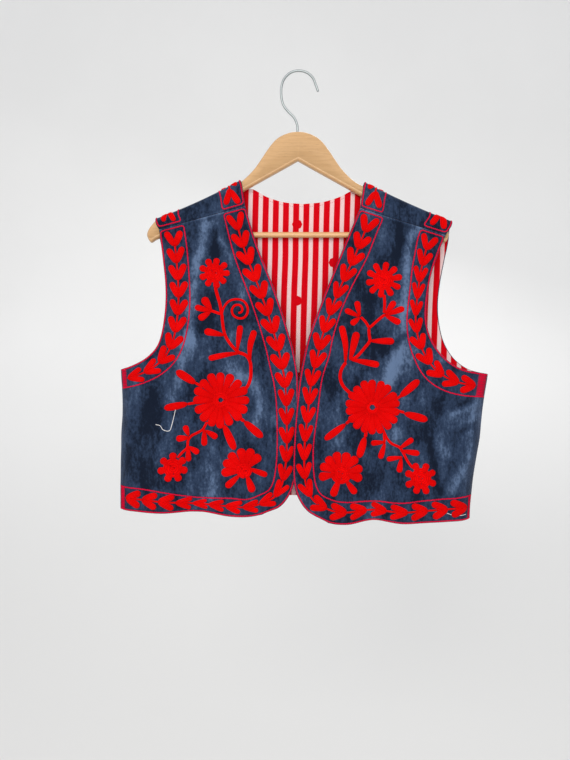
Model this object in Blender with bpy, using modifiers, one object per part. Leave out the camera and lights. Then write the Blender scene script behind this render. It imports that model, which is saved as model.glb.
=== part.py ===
"""Embroidered folk vest on a wooden hanger.

Two velvet fronts, and a velvet back whose yokes run over the arms of the hanger
to the front shoulder seams. A striped lining lies inside the back. Eight thick
chain-stitched flowers lie on the fronts. The origin is the point inside the
crown of the hook that bears on whatever holds it: +Z is up, +X is to the
viewer's right (the wearer's left) and -Y is to the front.

Every cloth piece is a grid over its cut. Each row of the grid runs from the
front edge, neck or centre line out to the armhole or the side seam, and the
grid is moved out from a reference surface by the layers that lie under it.
Lengths are millimetres until the meshes are made.
"""

import math
from collections import namedtuple

import bmesh
import bpy
import numpy as np

MM = 0.001

# Layers of cloth, counted outwards from the reference surface
VELVET = 1.8
LINING = 1.0
SEAM_GAP = 0.3
LAYER_GAP = 0.5
INNER_CLEARANCE = 0.25
FLOWER_THICKNESS = 1.3
FRONT_OFFSET = INNER_CLEARANCE + VELVET / 2
LINING_OFFSET = INNER_CLEARANCE + LINING / 2
BACK_OFFSET = INNER_CLEARANCE + LINING + LAYER_GAP + VELVET / 2
FLOWER_OFFSET = INNER_CLEARANCE + VELVET + LAYER_GAP + FLOWER_THICKNESS / 2

# Grid of the cloth
ROW_STEP = 17.0
FRONT_COLUMNS = 16
BACK_COLUMNS = 12
SIDE_CROWDING = 1.6
YOKE_ROWS = 2
ARC_ROWS = 3

# The yoke comes down from the lining's layer to the fronts' over this stretch,
# measured along the cloth from the crest of the shoulder
SETTLE_START = 6.0
SETTLE_RUN = 11.0

# Side seams: how fast the two layers part from the seam
SIDE_ROUNDING = 14.0

# The left front lies over the right one below this height
LAP_TOP = -430.0
LAP_FADE = 60.0
LAP_WIDTH = 45.0
LAP_PARTING = 4.2

# The hem's waves fade out over this height
HEM_REACH = 45.0

Depth = namedtuple("Depth", "z front back")
DEPTHS = (
    Depth(-140.0, 7.0, 7.0),
    Depth(-250.0, 8.2, 7.8),
    Depth(-335.0, 14.5, 9.8),
    Depth(-440.0, 20.0, 11.8),
    Depth(-560.0, 23.5, 12.8),
    Depth(-665.0, 22.5, 12.0),
)

# Side seam lines, at the viewer's left and right
Side = namedtuple("Side", "z left right")
SIDES = (
    Side(-230.0, -266.0, 292.0),
    Side(-436.0, -256.0, 275.0),
    Side(-485.0, -254.0, 268.0),
    Side(-535.0, -255.5, 262.5),
    Side(-575.0, -256.5, 255.5),
    Side(-615.0, -257.0, 250.5),
    Side(-665.0, -257.5, 248.0),
)

# Folded edge of the shoulders, from the neck to the shoulder point
Shoulder = namedtuple("Shoulder", "neck_x neck_z point_x point_z sag")
SHOULDERS = {
    "left": Shoulder(-82.0, -157.5, -206.0, -214.0, 3.0),
    "right": Shoulder(95.0, -160.5, 223.0, -218.0, 2.0),
}

# Rows of the fronts, from the shoulder seam to the hem.
# The turn column marks a row where one of the two outlines has a corner.
# From the underarm down, the outer outline is the side seam line, which sets x.
FrontRow = namedtuple("FrontRow", "edge_x edge_z outer_x outer_z turn")
FRONT_ROWS = {
    "right_front": (
        FrontRow(-76.5, -198.0, -200.5, -232.0, ""),
        FrontRow(-59.0, -255.0, -194.5, -276.0, ""),
        FrontRow(-36.0, -314.0, -190.0, -318.0, ""),
        FrontRow(-21.0, -358.0, -190.5, -350.0, ""),
        FrontRow(-12.0, -388.0, -195.0, -383.0, ""),
        FrontRow(-7.5, -404.0, -202.0, -402.0, ""),
        FrontRow(-3.5, -424.0, -217.0, -417.5, ""),
        FrontRow(-1.2, -437.0, -238.0, -428.5, ""),
        FrontRow(-0.3, -446.0, None, -433.5, "outer"),
        FrontRow(0.3, -498.0, None, -486.0, ""),
        FrontRow(0.2, -550.0, None, -545.0, ""),
        FrontRow(-4.5, -588.0, None, -588.0, ""),
        FrontRow(-11.5, -610.0, None, -606.0, ""),
        FrontRow(-26.0, -628.5, None, -621.0, ""),
        FrontRow(-51.5, -638.0, None, -635.5, ""),
    ),
    "left_front": (
        FrontRow(89.5, -201.0, 212.5, -240.0, ""),
        FrontRow(74.5, -236.0, 201.0, -268.0, ""),
        FrontRow(49.0, -298.0, 189.5, -303.0, ""),
        FrontRow(27.0, -354.0, 182.3, -352.0, ""),
        FrontRow(14.0, -390.0, 185.0, -378.0, ""),
        FrontRow(9.5, -408.0, 194.0, -399.0, ""),
        FrontRow(6.0, -425.0, 210.0, -419.0, ""),
        FrontRow(3.0, -440.0, 234.0, -433.5, ""),
        FrontRow(1.0, -452.0, None, -440.0, "outer"),
        FrontRow(-4.5, -505.0, None, -500.0, ""),
        FrontRow(-7.2, -555.0, None, -555.0, ""),
        FrontRow(-7.0, -590.0, None, -595.0, ""),
        FrontRow(-1.0, -614.0, None, -616.0, ""),
        FrontRow(14.0, -635.5, None, -634.0, ""),
        FrontRow(42.0, -650.0, None, -650.0, ""),
    ),
}

# Rows of the half backs, from the front seam over the shoulder to the hem.
# The face column says where a row lies: on the front or the back, or on the
# arc over the hanger, at its fore end, crest or aft end, which set the height.
BackRow = namedtuple("BackRow", "inner_x inner_z outer_x outer_z face turn")
CENTRE_X = 9.0
NECK_Z = -190.0
BACK_ROWS = {
    "left": (
        BackRow(-76.5, -197.7, -200.5, -231.7, "front", ""),
        BackRow(-80.8, None, -204.6, None, "fore", ""),
        BackRow(-82.0, None, -206.0, None, "crest", ""),
        BackRow(-80.0, None, -205.8, None, "aft", ""),
        BackRow(-66.0, -168.5, -203.0, -243.0, "back", ""),
        BackRow(-46.0, -179.5, -196.5, -272.0, "back", ""),
        BackRow(-20.0, -187.5, -189.5, -304.0, "back", ""),
        BackRow(CENTRE_X, NECK_Z, -185.5, -334.0, "back", "inner"),
        BackRow(CENTRE_X, -265.0, -187.0, -362.0, "back", ""),
        BackRow(CENTRE_X, -335.0, -195.0, -389.0, "back", ""),
        BackRow(CENTRE_X, -385.0, -209.0, -411.0, "back", ""),
        BackRow(CENTRE_X, -425.0, -231.0, -427.0, "back", ""),
        BackRow(CENTRE_X, -452.0, None, -433.5, "back", "outer"),
        BackRow(CENTRE_X, -510.0, None, -503.0, "back", ""),
        BackRow(CENTRE_X, -570.0, None, -575.0, "back", ""),
        BackRow(CENTRE_X, -618.0, None, -635.5, "back", ""),
    ),
    "right": (
        BackRow(89.5, -200.7, 212.5, -239.7, "front", ""),
        BackRow(93.8, None, 220.5, None, "fore", ""),
        BackRow(95.0, None, 223.0, None, "crest", ""),
        BackRow(93.0, None, 223.2, None, "aft", ""),
        BackRow(80.0, -170.5, 221.5, -247.0, "back", ""),
        BackRow(63.0, -179.0, 216.0, -274.0, "back", ""),
        BackRow(37.0, -187.0, 210.0, -306.0, "back", ""),
        BackRow(CENTRE_X, NECK_Z, 207.0, -336.0, "back", "inner"),
        BackRow(CENTRE_X, -265.0, 209.0, -366.0, "back", ""),
        BackRow(CENTRE_X, -335.0, 216.5, -394.0, "back", ""),
        BackRow(CENTRE_X, -385.0, 230.0, -416.0, "back", ""),
        BackRow(CENTRE_X, -425.0, 250.0, -432.0, "back", ""),
        BackRow(CENTRE_X, -452.0, None, -440.0, "back", "outer"),
        BackRow(CENTRE_X, -510.0, None, -510.0, "back", ""),
        BackRow(CENTRE_X, -570.0, None, -580.0, "back", ""),
        BackRow(CENTRE_X, -618.0, None, -650.0, "back", ""),
    ),
}

# How far the hems rise above their straight runs
Hem = namedtuple("Hem", "x rise")
BACK_HEM = (
    Hem(-258.0, 0.0),
    Hem(-165.0, 3.0),
    Hem(-75.0, 5.5),
    Hem(9.0, 0.0),
    Hem(95.0, 6.5),
    Hem(185.0, 4.0),
    Hem(250.0, 0.0),
)
FRONT_HEMS = (
    Hem(-258.0, 0.0),
    Hem(-195.0, -1.0),
    Hem(-135.0, 1.0),
    Hem(-92.0, -4.5),
    Hem(-50.0, -1.0),
    Hem(42.0, 0.0),
    Hem(66.0, -2.5),
    Hem(108.0, 2.5),
    Hem(144.0, -2.0),
    Hem(190.0, -1.0),
    Hem(250.0, 0.5),
)

# Soft folds: a line over the panel, its half width, and how far the cloth
# stands out at the line's top, middle and foot (inwards where negative)
Fold = namedtuple("Fold", "top_x top_z foot_x foot_z width top middle foot")
FOLDS = {
    "right_front": (
        Fold(-133.0, -228.0, -176.0, -420.0, 24.0, 0.4, 2.2, 0.8),
        Fold(-95.0, -250.0, -120.0, -390.0, 22.0, 0.0, -1.6, 0.0),
        Fold(-182.0, -470.0, -196.0, -640.0, 24.0, 0.0, 1.6, 3.6),
        Fold(-142.0, -500.0, -138.0, -640.0, 22.0, 0.0, -1.2, -3.0),
        Fold(-96.0, -520.0, -92.0, -645.0, 23.0, 0.0, 1.2, 3.4),
        Fold(-226.0, -450.0, -232.0, -640.0, 17.0, -0.4, -1.8, -2.6),
    ),
    "left_front": (
        Fold(166.0, -228.0, 152.0, -400.0, 24.0, 0.4, 2.2, 0.6),
        Fold(118.0, -240.0, 92.0, -380.0, 22.0, 0.0, -1.6, 0.0),
        Fold(66.0, -520.0, 64.0, -655.0, 22.0, 0.0, 1.2, 3.0),
        Fold(108.0, -510.0, 108.0, -655.0, 22.0, 0.0, -1.2, -3.2),
        Fold(150.0, -480.0, 146.0, -655.0, 23.0, 0.0, 1.6, 3.6),
        Fold(198.0, -505.0, 216.0, -635.0, 17.0, -0.6, -2.6, -2.8),
    ),
    "back": (
        Fold(-60.0, -250.0, -110.0, -470.0, 30.0, 0.0, 2.4, 0.6),
        Fold(95.0, -240.0, 130.0, -450.0, 32.0, 0.0, 2.6, 0.8),
        Fold(15.0, -330.0, 4.0, -640.0, 34.0, 0.0, -1.8, -3.0),
        Fold(-70.0, -450.0, -78.0, -640.0, 26.0, 0.0, 1.8, 3.6),
        Fold(-160.0, -440.0, -168.0, -640.0, 25.0, 0.0, 1.4, 3.2),
        Fold(84.0, -470.0, 80.0, -645.0, 26.0, 0.0, 1.8, 3.8),
        Fold(170.0, -440.0, 172.0, -650.0, 26.0, 0.0, 1.6, 3.2),
    ),
}

# Flowers: place, radius and number of petals
Flower = namedtuple("Flower", "name panel x z radius petals")
FLOWERS = (
    Flower("right_upper_flower", "right_front", -121.0, -297.0, 21.5, 12),
    Flower("right_big_flower", "right_front", -111.0, -477.0, 38.5, 16),
    Flower("right_small_flower", "right_front", -177.5, -572.0, 20.5, 8),
    Flower("right_corner_flower", "right_front", -78.5, -564.0, 24.0, 12),
    Flower("left_upper_flower", "left_front", 122.5, -307.0, 24.0, 11),
    Flower("left_big_flower", "left_front", 103.0, -487.0, 38.5, 18),
    Flower("left_small_flower", "left_front", 173.0, -587.0, 22.5, 8),
    Flower("left_corner_flower", "left_front", 58.5, -572.0, 26.0, 12),
)
PETAL_NOTCH = 0.80
PETAL_POINTS = 3
FLOWER_RING_STEP = 13.5

# Hanger
ARM_THICKNESS = 12.0
ARM_ROUNDING = 4.5
ARM_TOP_CLEARANCE = 0.65
ARM_SLOPE_X = 81.0
ARM_END_X = 219.0
ARM_END_TOP_Z = -226.0
ARM_END_LOW_Z = -248.5
ARM_UNDERSIDE_APEX_Z = -130.0
ARM_UNDERSIDE_SLOPE = 0.556
BAR_Z = -237.5
BAR_RADIUS = 4.0
BAR_HALF = 205.0
WIRE_RADIUS = 1.75
SOCKET_CLEARANCE = 0.3
STEM_X = -1.0
STEM_FOOT_Z = -112.0
HangerTop = namedtuple("HangerTop", "x z")
HANGER_TOP = (
    HangerTop(0.0, -88.0),
    HangerTop(18.0, -91.5),
    HangerTop(33.0, -100.5),
    HangerTop(44.0, -114.0),
    HangerTop(53.0, -127.5),
    HangerTop(62.0, -140.5),
    HangerTop(73.0, -152.5),
)
HookBend = namedtuple("HookBend", "x z")
HOOK_BENDS = (
    HookBend(STEM_X, STEM_FOOT_Z),
    HookBend(STEM_X, -90.0),
    HookBend(STEM_X, -78.0),
    HookBend(-5.5, -67.0),
    HookBend(-14.5, -57.5),
    HookBend(-21.5, -47.5),
    HookBend(-24.2, -35.0),
    HookBend(-24.0, -22.5),
    HookBend(-20.5, -11.0),
    HookBend(-11.5, -1.6),
    HookBend(0.0, WIRE_RADIUS),
    HookBend(12.5, -0.8),
    HookBend(21.5, -8.5),
    HookBend(26.0, -19.0),
    HookBend(29.5, -29.0),
)
HOOK_STEP = 5.0


def smooth(value, keys, values):
    """Cubic through (keys, values) at value; flat beyond the ends."""
    keys = np.asarray(keys, float)
    values = np.asarray(values, float)
    if keys[0] > keys[-1]:
        keys = keys[::-1]
        values = values[::-1]
    value = np.clip(value, keys[0], keys[-1])
    slopes = np.gradient(values, keys)
    slot = np.clip(np.searchsorted(keys, value, side="right") - 1, 0, len(keys) - 2)
    span = keys[slot + 1] - keys[slot]
    t = (value - keys[slot]) / span
    start = values[slot] * (2 * t**3 - 3 * t**2 + 1)
    end = values[slot + 1] * (3 * t**2 - 2 * t**3)
    leave = slopes[slot] * span * (t**3 - 2 * t**2 + t)
    arrive = slopes[slot + 1] * span * (t**3 - t**2)
    return start + end + leave + arrive


def column(rows, name):
    """One named column of a table."""
    return [getattr(row, name) for row in rows]


def ease(t):
    """Smooth step from 0 to 1."""
    t = np.clip(t, 0.0, 1.0)
    return t * t * (3.0 - 2.0 * t)


def smooth_path(points, corners, steps):
    """Points along a curve through the given ones, which keeps its corners."""
    points = np.asarray(points, float)
    chords = np.linalg.norm(np.diff(points, axis=0), axis=1)
    result = []
    for i, chord in enumerate(chords):
        straight = points[i + 1] - points[i]
        leave = straight
        arrive = straight
        if i > 0 and i not in corners:
            leave = (points[i + 1] - points[i - 1]) * chord / (chord + chords[i - 1])
        if i + 2 < len(points) and i + 1 not in corners:
            arrive = (points[i + 2] - points[i]) * chord / (chord + chords[i + 1])
        for t in np.arange(steps[i]) / steps[i]:
            place = points[i] * (2 * t**3 - 3 * t**2 + 1) + points[i + 1] * (3 * t**2 - 2 * t**3)
            result.append(place + leave * (t**3 - 2 * t**2 + t) + arrive * (t**3 - t**2))
    result.append(points[-1])
    return np.array(result)


def side_x(z, side):
    """Where the side seam runs at height z."""
    return smooth(z, column(SIDES, "z"), column(SIDES, side))


def outer_x(row, side):
    """Where the outer outline of a panel crosses a row."""
    return float(side_x(row.outer_z, side)) if row.outer_x is None else row.outer_x


def folds(x, z, panel):
    """How far the folds of a panel stand out."""
    total = np.zeros_like(x)
    for fold in FOLDS[panel]:
        run_x = fold.foot_x - fold.top_x
        run_z = fold.foot_z - fold.top_z
        length_2 = run_x**2 + run_z**2
        t = np.clip(((x - fold.top_x) * run_x + (z - fold.top_z) * run_z) / length_2, 0.0, 1.0)
        away_2 = (x - fold.top_x - t * run_x) ** 2 + (z - fold.top_z - t * run_z) ** 2
        height = smooth(t, (0.0, 0.5, 1.0), (fold.top, fold.middle, fold.foot))
        total = total + height * np.exp(-away_2 / fold.width**2)
    return total


def parting(x, z):
    """How far the layers have parted from the side seams, 0 to 1."""
    left = x - side_x(z, "left")
    right = side_x(z, "right") - x
    return (1.0 - np.exp(-left / SIDE_ROUNDING)) * (1.0 - np.exp(-right / SIDE_ROUNDING))


def front_depth(x, z, panel):
    """Reference surface of a front, as y."""
    out = smooth(z, column(DEPTHS, "z"), column(DEPTHS, "front")) + folds(x, z, panel)
    lap = ease((LAP_TOP - z) / LAP_FADE) * np.exp(-((x / LAP_WIDTH) ** 2)) * LAP_PARTING / 2
    out = out + (lap if panel == "left_front" else -lap)
    return -out * parting(x, z)


def back_depth(x, z):
    """Reference surface of the back, as y."""
    out = smooth(z, column(DEPTHS, "z"), column(DEPTHS, "back")) + folds(x, z, "back")
    return out * parting(x, z)


def crest_z(x, side):
    """Height of the reference surface along the shoulder's fold."""
    shoulder = SHOULDERS[side]
    slope = (shoulder.point_z - shoulder.neck_z) / (shoulder.point_x - shoulder.neck_x)
    t = (x - shoulder.neck_x) / (shoulder.point_x - shoulder.neck_x)
    t = np.clip(t, 0.0, 1.0)
    layers = (BACK_OFFSET + VELVET / 2) * math.hypot(1.0, slope)
    return shoulder.neck_z + slope * (x - shoulder.neck_x) - shoulder.sag * 4 * t * (1 - t) - layers


WRAP_RADIUS = DEPTHS[0].front
ARC_ANGLES = {"fore": math.pi, "crest": math.pi / 2, "aft": 0.0}


def laid_out_z(x, z, face, side):
    """Height that a point of the yoke would have, were it not folded over."""
    if face == "back":
        return z
    tangent = crest_z(x, side) - WRAP_RADIUS
    if face in ARC_ANGLES:
        return tangent + ARC_ANGLES[face] * WRAP_RADIUS
    return tangent + math.pi * WRAP_RADIUS + (tangent - z)


def back_surface(side):
    """The back's reference surface: over the crest where it is laid out higher."""

    def surface(x, laid_z):
        tangent = crest_z(x, side) - WRAP_RADIUS
        angle = np.clip((laid_z - tangent) / WRAP_RADIUS, 0.0, math.pi)
        beyond = np.maximum(laid_z - tangent - math.pi * WRAP_RADIUS, 0.0)
        z = np.where(laid_z < tangent, laid_z, tangent + WRAP_RADIUS * np.sin(angle) - beyond)
        panel = "right_front" if side == "left" else "left_front"
        behind = back_depth(x, z)
        before = front_depth(x, z, panel)
        at_tangent = np.where(angle < math.pi / 2, back_depth(x, tangent), -front_depth(x, tangent, panel))
        over = at_tangent * np.cos(angle)
        y = np.where(laid_z < tangent, behind, np.where(beyond > 0, before, over))
        return np.stack([x, y, z], axis=-1)

    return surface


def front_surface(panel):
    """The reference surface of a front."""

    def surface(x, z):
        return np.stack([x, front_depth(x, z, panel), z], axis=-1)

    return surface


def moved_out(surface, x, z, offset, outward):
    """Points of a surface, moved out along its normals."""
    step = 0.2
    across = surface(x + step, z) - surface(x - step, z)
    along = surface(x, z + step) - surface(x, z - step)
    normal = np.cross(across, along) * outward
    normal /= np.linalg.norm(normal, axis=-1, keepdims=True)
    return surface(x, z) + normal * np.broadcast_to(offset, x.shape)[..., None]


def panel_grid(inner, outer, turns, steps, columns, side):
    """Rows of x and z between an inner and an outer outline."""
    underarm = turns.index("outer")
    inner_path = smooth_path(inner, [i for i, turn in enumerate(turns) if turn == "inner"], steps)
    outer_path = smooth_path(outer, [underarm], steps)
    seam = slice(sum(steps[:underarm]), None)
    outer_path[seam, 0] = side_x(outer_path[seam, 1], side)
    t = np.linspace(0.0, 1.0, columns + 1)
    fraction = 1.0 - (1.0 - t) ** SIDE_CROWDING
    span = outer_path - inner_path
    return inner_path[:, None, :] + span[:, None, :] * fraction[None, :, None]


def row_steps(inner, outer):
    """Number of grid rows between each two rows of a table."""
    inner_run = np.linalg.norm(np.diff(inner, axis=0), axis=1)
    outer_run = np.linalg.norm(np.diff(outer, axis=0), axis=1)
    return [max(1, round(run / ROW_STEP)) for run in np.maximum(inner_run, outer_run)]


def wave_hem(x, z, hem):
    """Move the rows near the hem by its waves."""
    reach = ease((HEM_REACH - z + z[-1:, :]) / HEM_REACH)
    return z + smooth(x, column(hem, "x"), column(hem, "rise")) * reach


def new_object(name, mesh, material, collection):
    """Link a mesh as an object with one material."""
    mesh.materials.append(material)
    result = bpy.data.objects.new(name, mesh)
    collection.objects.link(result)
    return result


def sheet(name, grids, thickness, material, collection):
    """Closed wall of cloth round one or more grids of points that share edges."""
    work = bmesh.new()
    for grid in grids:
        corners = [[work.verts.new(point * MM) for point in row] for row in grid]
        for upper, lower in zip(corners, corners[1:]):
            for i in range(len(upper) - 1):
                work.faces.new((upper[i], upper[i + 1], lower[i + 1]))
                work.faces.new((upper[i], lower[i + 1], lower[i]))
    bmesh.ops.remove_doubles(work, verts=work.verts, dist=0.02 * MM)
    bmesh.ops.recalc_face_normals(work, faces=work.faces)
    mesh = bpy.data.meshes.new(name)
    work.to_mesh(mesh)
    work.free()
    mesh.shade_smooth()
    result = new_object(name, mesh, material, collection)
    wall = result.modifiers.new("Wall", "SOLIDIFY")
    wall.thickness = thickness * MM
    wall.offset = 0.0
    return result


def build_front(panel, material, collection):
    """One front, from its shoulder seam to the hem."""
    rows = FRONT_ROWS[panel]
    side = "left" if panel == "right_front" else "right"
    inner = [(row.edge_x, row.edge_z) for row in rows]
    outer = [(outer_x(row, side), row.outer_z) for row in rows]
    grid = panel_grid(inner, outer, column(rows, "turn"), row_steps(inner, outer), FRONT_COLUMNS, side)
    x = grid[..., 0]
    z = wave_hem(x, grid[..., 1], FRONT_HEMS)
    return sheet(panel, [moved_out(front_surface(panel), x, z, FRONT_OFFSET, 1.0)], VELVET, material, collection)


def half_back(side):
    """Grid of a half back, laid out, and the number of rows before its crest."""
    rows = BACK_ROWS[side]
    inner = [(row.inner_x, float(laid_out_z(row.inner_x, row.inner_z, row.face, side))) for row in rows]
    outer = [(outer_x(row, side), float(laid_out_z(row.outer_x, row.outer_z, row.face, side))) for row in rows]
    steps = row_steps(inner, outer)
    steps[:3] = (YOKE_ROWS, ARC_ROWS, ARC_ROWS)
    grid = panel_grid(inner, outer, column(rows, "turn"), steps, BACK_COLUMNS, side)
    x = grid[..., 0]
    laid_z = wave_hem(x, grid[..., 1], BACK_HEM)
    seam = rows[0]
    for row in range(YOKE_ROWS):
        seam_z = seam.inner_z + (x[row] - seam.inner_x) * (seam.outer_z - seam.inner_z) / (
            seam.outer_x - seam.inner_x
        )
        z = seam_z + (crest_z(x[row], side) - WRAP_RADIUS - seam_z) * row / YOKE_ROWS
        laid_z[row] = laid_out_z(x[row], z, "front", side)
    for step in range(2 * ARC_ROWS + 1):
        row = YOKE_ROWS + step
        angle = math.pi * (1 - step / (2 * ARC_ROWS))
        laid_z[row] = crest_z(x[row], side) + (angle - 1) * WRAP_RADIUS
    return x, laid_z


def layer_offset(x, laid_z, side):
    """Offset of the velvet back: less in front of the crest, with no lining there."""
    past_crest = laid_z - laid_out_z(x, None, "crest", side)
    return BACK_OFFSET + (FRONT_OFFSET - BACK_OFFSET) * ease((past_crest - SETTLE_START) / SETTLE_RUN)


def build_back(material, collection):
    """The velvet back with its yokes."""
    grids = []
    for side in ("left", "right"):
        x, laid_z = half_back(side)
        grids.append(moved_out(back_surface(side), x, laid_z, layer_offset(x, laid_z, side), -1.0))
    return sheet("back", grids, VELVET, material, collection)


def build_lining(material, collection):
    """The lining of the back, which ends under the fold of the shoulders."""
    grids = []
    for side in ("left", "right"):
        x, laid_z = half_back(side)
        first = YOKE_ROWS + ARC_ROWS + 2
        x = x[first:]
        laid_z = laid_z[first:]
        grids.append(moved_out(back_surface(side), x, laid_z, LINING_OFFSET, -1.0))
    return sheet("back_lining", grids, LINING, material, collection)


def petal_reach(angle, flower):
    """Radius of a flower's outline at an angle: a notch, then a blunt petal."""
    fullness = abs(math.sin(angle * flower.petals / 2)) / math.sin(math.pi / PETAL_POINTS)
    return flower.radius * (PETAL_NOTCH + (1.0 - PETAL_NOTCH) * fullness)


def build_flower(flower, material, collection):
    """A thick chain-stitched flower that lies on a front."""
    surface = front_surface(flower.panel)
    rings = max(2, round(flower.radius / FLOWER_RING_STEP))
    corners = PETAL_POINTS * flower.petals
    work = bmesh.new()
    middle = moved_out(surface, np.array([flower.x]), np.array([flower.z]), FLOWER_OFFSET, 1.0)[0]
    hub = work.verts.new(middle * MM)
    inner = [hub] * corners
    for ring in range(1, rings + 1):
        angles = [i * 2 * math.pi / corners for i in range(corners)]
        reach = [petal_reach(angle, flower) * ring / rings for angle in angles]
        x = np.array([flower.x + r * math.sin(angle) for r, angle in zip(reach, angles)])
        z = np.array([flower.z + r * math.cos(angle) for r, angle in zip(reach, angles)])
        points = moved_out(surface, x, z, FLOWER_OFFSET, 1.0)
        outer = [work.verts.new(point * MM) for point in points]
        for i in range(corners):
            j = (i + 1) % corners
            face = (inner[i], outer[i], outer[j]) if ring == 1 else (inner[i], outer[i], outer[j], inner[j])
            work.faces.new(face)
        inner = outer
    mesh = bpy.data.meshes.new(flower.name)
    bmesh.ops.recalc_face_normals(work, faces=work.faces)
    work.to_mesh(mesh)
    work.free()
    result = new_object(flower.name, mesh, material, collection)
    wall = result.modifiers.new("Thickness", "SOLIDIFY")
    wall.thickness = FLOWER_THICKNESS * MM
    wall.offset = 0.0
    return result


def hanger_outline():
    """Closed outline of the hanger's arms, as x and z."""
    top = [(spot.x, spot.z) for spot in HANGER_TOP]
    for step in range(8):
        x = ARM_SLOPE_X + step * (ARM_END_X - 13.0 - ARM_SLOPE_X) / 7
        left = crest_z(-x, "left")
        right = crest_z(x, "right")
        slope = (SHOULDERS["left"].point_z - SHOULDERS["left"].neck_z) / (
            SHOULDERS["left"].point_x - SHOULDERS["left"].neck_x
        )
        lift = (BACK_OFFSET - VELVET / 2) * math.hypot(1.0, slope) - ARM_TOP_CLEARANCE
        top.append((x, min(left, right) + lift))
    end = [
        (ARM_END_X - 5.0, ARM_END_TOP_Z),
        (ARM_END_X, ARM_END_TOP_Z - 7.0),
        (ARM_END_X, ARM_END_LOW_Z + 6.0),
        (ARM_END_X - 5.0, ARM_END_LOW_Z),
        (ARM_END_X - 11.0, ARM_UNDERSIDE_APEX_Z - ARM_UNDERSIDE_SLOPE * (ARM_END_X - 11.0)),
    ]
    right_half = top + end
    left_half = [(-x, z) for x, z in reversed(right_half) if x > 0]
    return right_half + [(0.0, ARM_UNDERSIDE_APEX_Z)] + left_half


def meshed(curve_object, collection):
    """The mesh of a curve object, with its caps welded, in place of the curve."""
    graph = bpy.context.evaluated_depsgraph_get()
    mesh = bpy.data.meshes.new_from_object(curve_object.evaluated_get(graph))
    work = bmesh.new()
    work.from_mesh(mesh)
    bmesh.ops.remove_doubles(work, verts=work.verts, dist=0.01 * MM)
    work.to_mesh(mesh)
    work.free()
    result = bpy.data.objects.new(curve_object.name, mesh)
    result.matrix_world = curve_object.matrix_world
    name = curve_object.name
    collection.objects.link(result)
    bpy.data.objects.remove(curve_object)
    result.name = name
    return result


def cylinder(name, radius, length, location, rotation, collection):
    """A closed cylinder along its own Z."""
    bpy.ops.mesh.primitive_cylinder_add(
        vertices=20, radius=radius * MM, depth=length * MM, location=location, rotation=rotation
    )
    result = bpy.context.object
    result.name = name
    for owner in result.users_collection:
        owner.objects.unlink(result)
    collection.objects.link(result)
    return result


def build_arms(material, collection, cutters):
    """The hanger's arms with sockets for the bar and the hook."""
    outline = bpy.data.curves.new("hanger_arms", "CURVE")
    outline.dimensions = "2D"
    outline.fill_mode = "BOTH"
    outline.extrude = (ARM_THICKNESS / 2 - ARM_ROUNDING) * MM
    outline.bevel_depth = ARM_ROUNDING * MM
    outline.bevel_resolution = 1
    outline.offset = -ARM_ROUNDING * MM
    spline = outline.splines.new("POLY")
    points = hanger_outline()
    spline.points.add(len(points) - 1)
    for place, (x, z) in zip(spline.points, points):
        place.co = (x * MM, z * MM, 0.0, 1.0)
    spline.use_cyclic_u = True
    curve_object = bpy.data.objects.new("hanger_arms", outline)
    curve_object.rotation_euler = (math.pi / 2, 0.0, 0.0)
    collection.objects.link(curve_object)
    bpy.context.view_layer.update()
    arms = meshed(curve_object, collection)
    arms.data.materials.append(material)

    bar_socket = cylinder(
        "bar_socket",
        BAR_RADIUS + SOCKET_CLEARANCE,
        2 * (BAR_HALF + SOCKET_CLEARANCE),
        (0.0, 0.0, BAR_Z * MM),
        (0.0, math.pi / 2, 0.0),
        cutters,
    )
    stem_length = 60.0
    hook_socket = cylinder(
        "hook_socket",
        WIRE_RADIUS + SOCKET_CLEARANCE,
        stem_length,
        (STEM_X * MM, 0.0, (STEM_FOOT_Z - SOCKET_CLEARANCE + stem_length / 2) * MM),
        (0.0, 0.0, 0.0),
        cutters,
    )
    for cutter in (bar_socket, hook_socket):
        cutter.hide_render = True
        cutter.display_type = "WIRE"
        cut = arms.modifiers.new("Cut", "BOOLEAN")
        cut.operation = "DIFFERENCE"
        cut.solver = "EXACT"
        cut.object = cutter
    return arms


def build_bar(material, collection):
    """The dowel between the arms."""
    bar = cylinder(
        "hanger_bar", BAR_RADIUS, 2 * BAR_HALF, (0.0, 0.0, BAR_Z * MM), (0.0, math.pi / 2, 0.0), collection
    )
    bar.data.materials.append(material)
    bar.data.shade_smooth()
    bar.data.set_sharp_from_angle(angle=math.radians(40.0))
    return bar


def build_hook(material, collection):
    """The hook of steel wire."""
    bends = [(bend.x, bend.z) for bend in HOOK_BENDS]
    runs = np.linalg.norm(np.diff(bends, axis=0), axis=1)
    path = smooth_path(bends, [], [max(1, round(run / HOOK_STEP)) for run in runs])
    wire = bpy.data.curves.new("hanger_hook", "CURVE")
    wire.dimensions = "3D"
    wire.bevel_depth = WIRE_RADIUS * MM
    wire.bevel_resolution = 2
    wire.use_fill_caps = True
    spline = wire.splines.new("POLY")
    spline.points.add(len(path) - 1)
    for place, (x, z) in zip(spline.points, path):
        place.co = (x * MM, 0.0, z * MM, 1.0)
    hook = bpy.data.objects.new("hanger_hook", wire)
    wire.materials.append(material)
    collection.objects.link(hook)
    return hook


def new_material(name, color, roughness, metallic=0.0):
    """A plain Principled material."""
    material = bpy.data.materials.new(name)
    material.use_nodes = True
    shader = material.node_tree.nodes["Principled BSDF"]
    shader.inputs["Base Color"].default_value = (*color, 1.0)
    shader.inputs["Roughness"].default_value = roughness
    shader.inputs["Metallic"].default_value = metallic
    return material


def new_collection(name):
    """A collection linked to the scene."""
    result = bpy.data.collections.new(name)
    bpy.context.scene.collection.children.link(result)
    return result


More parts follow.
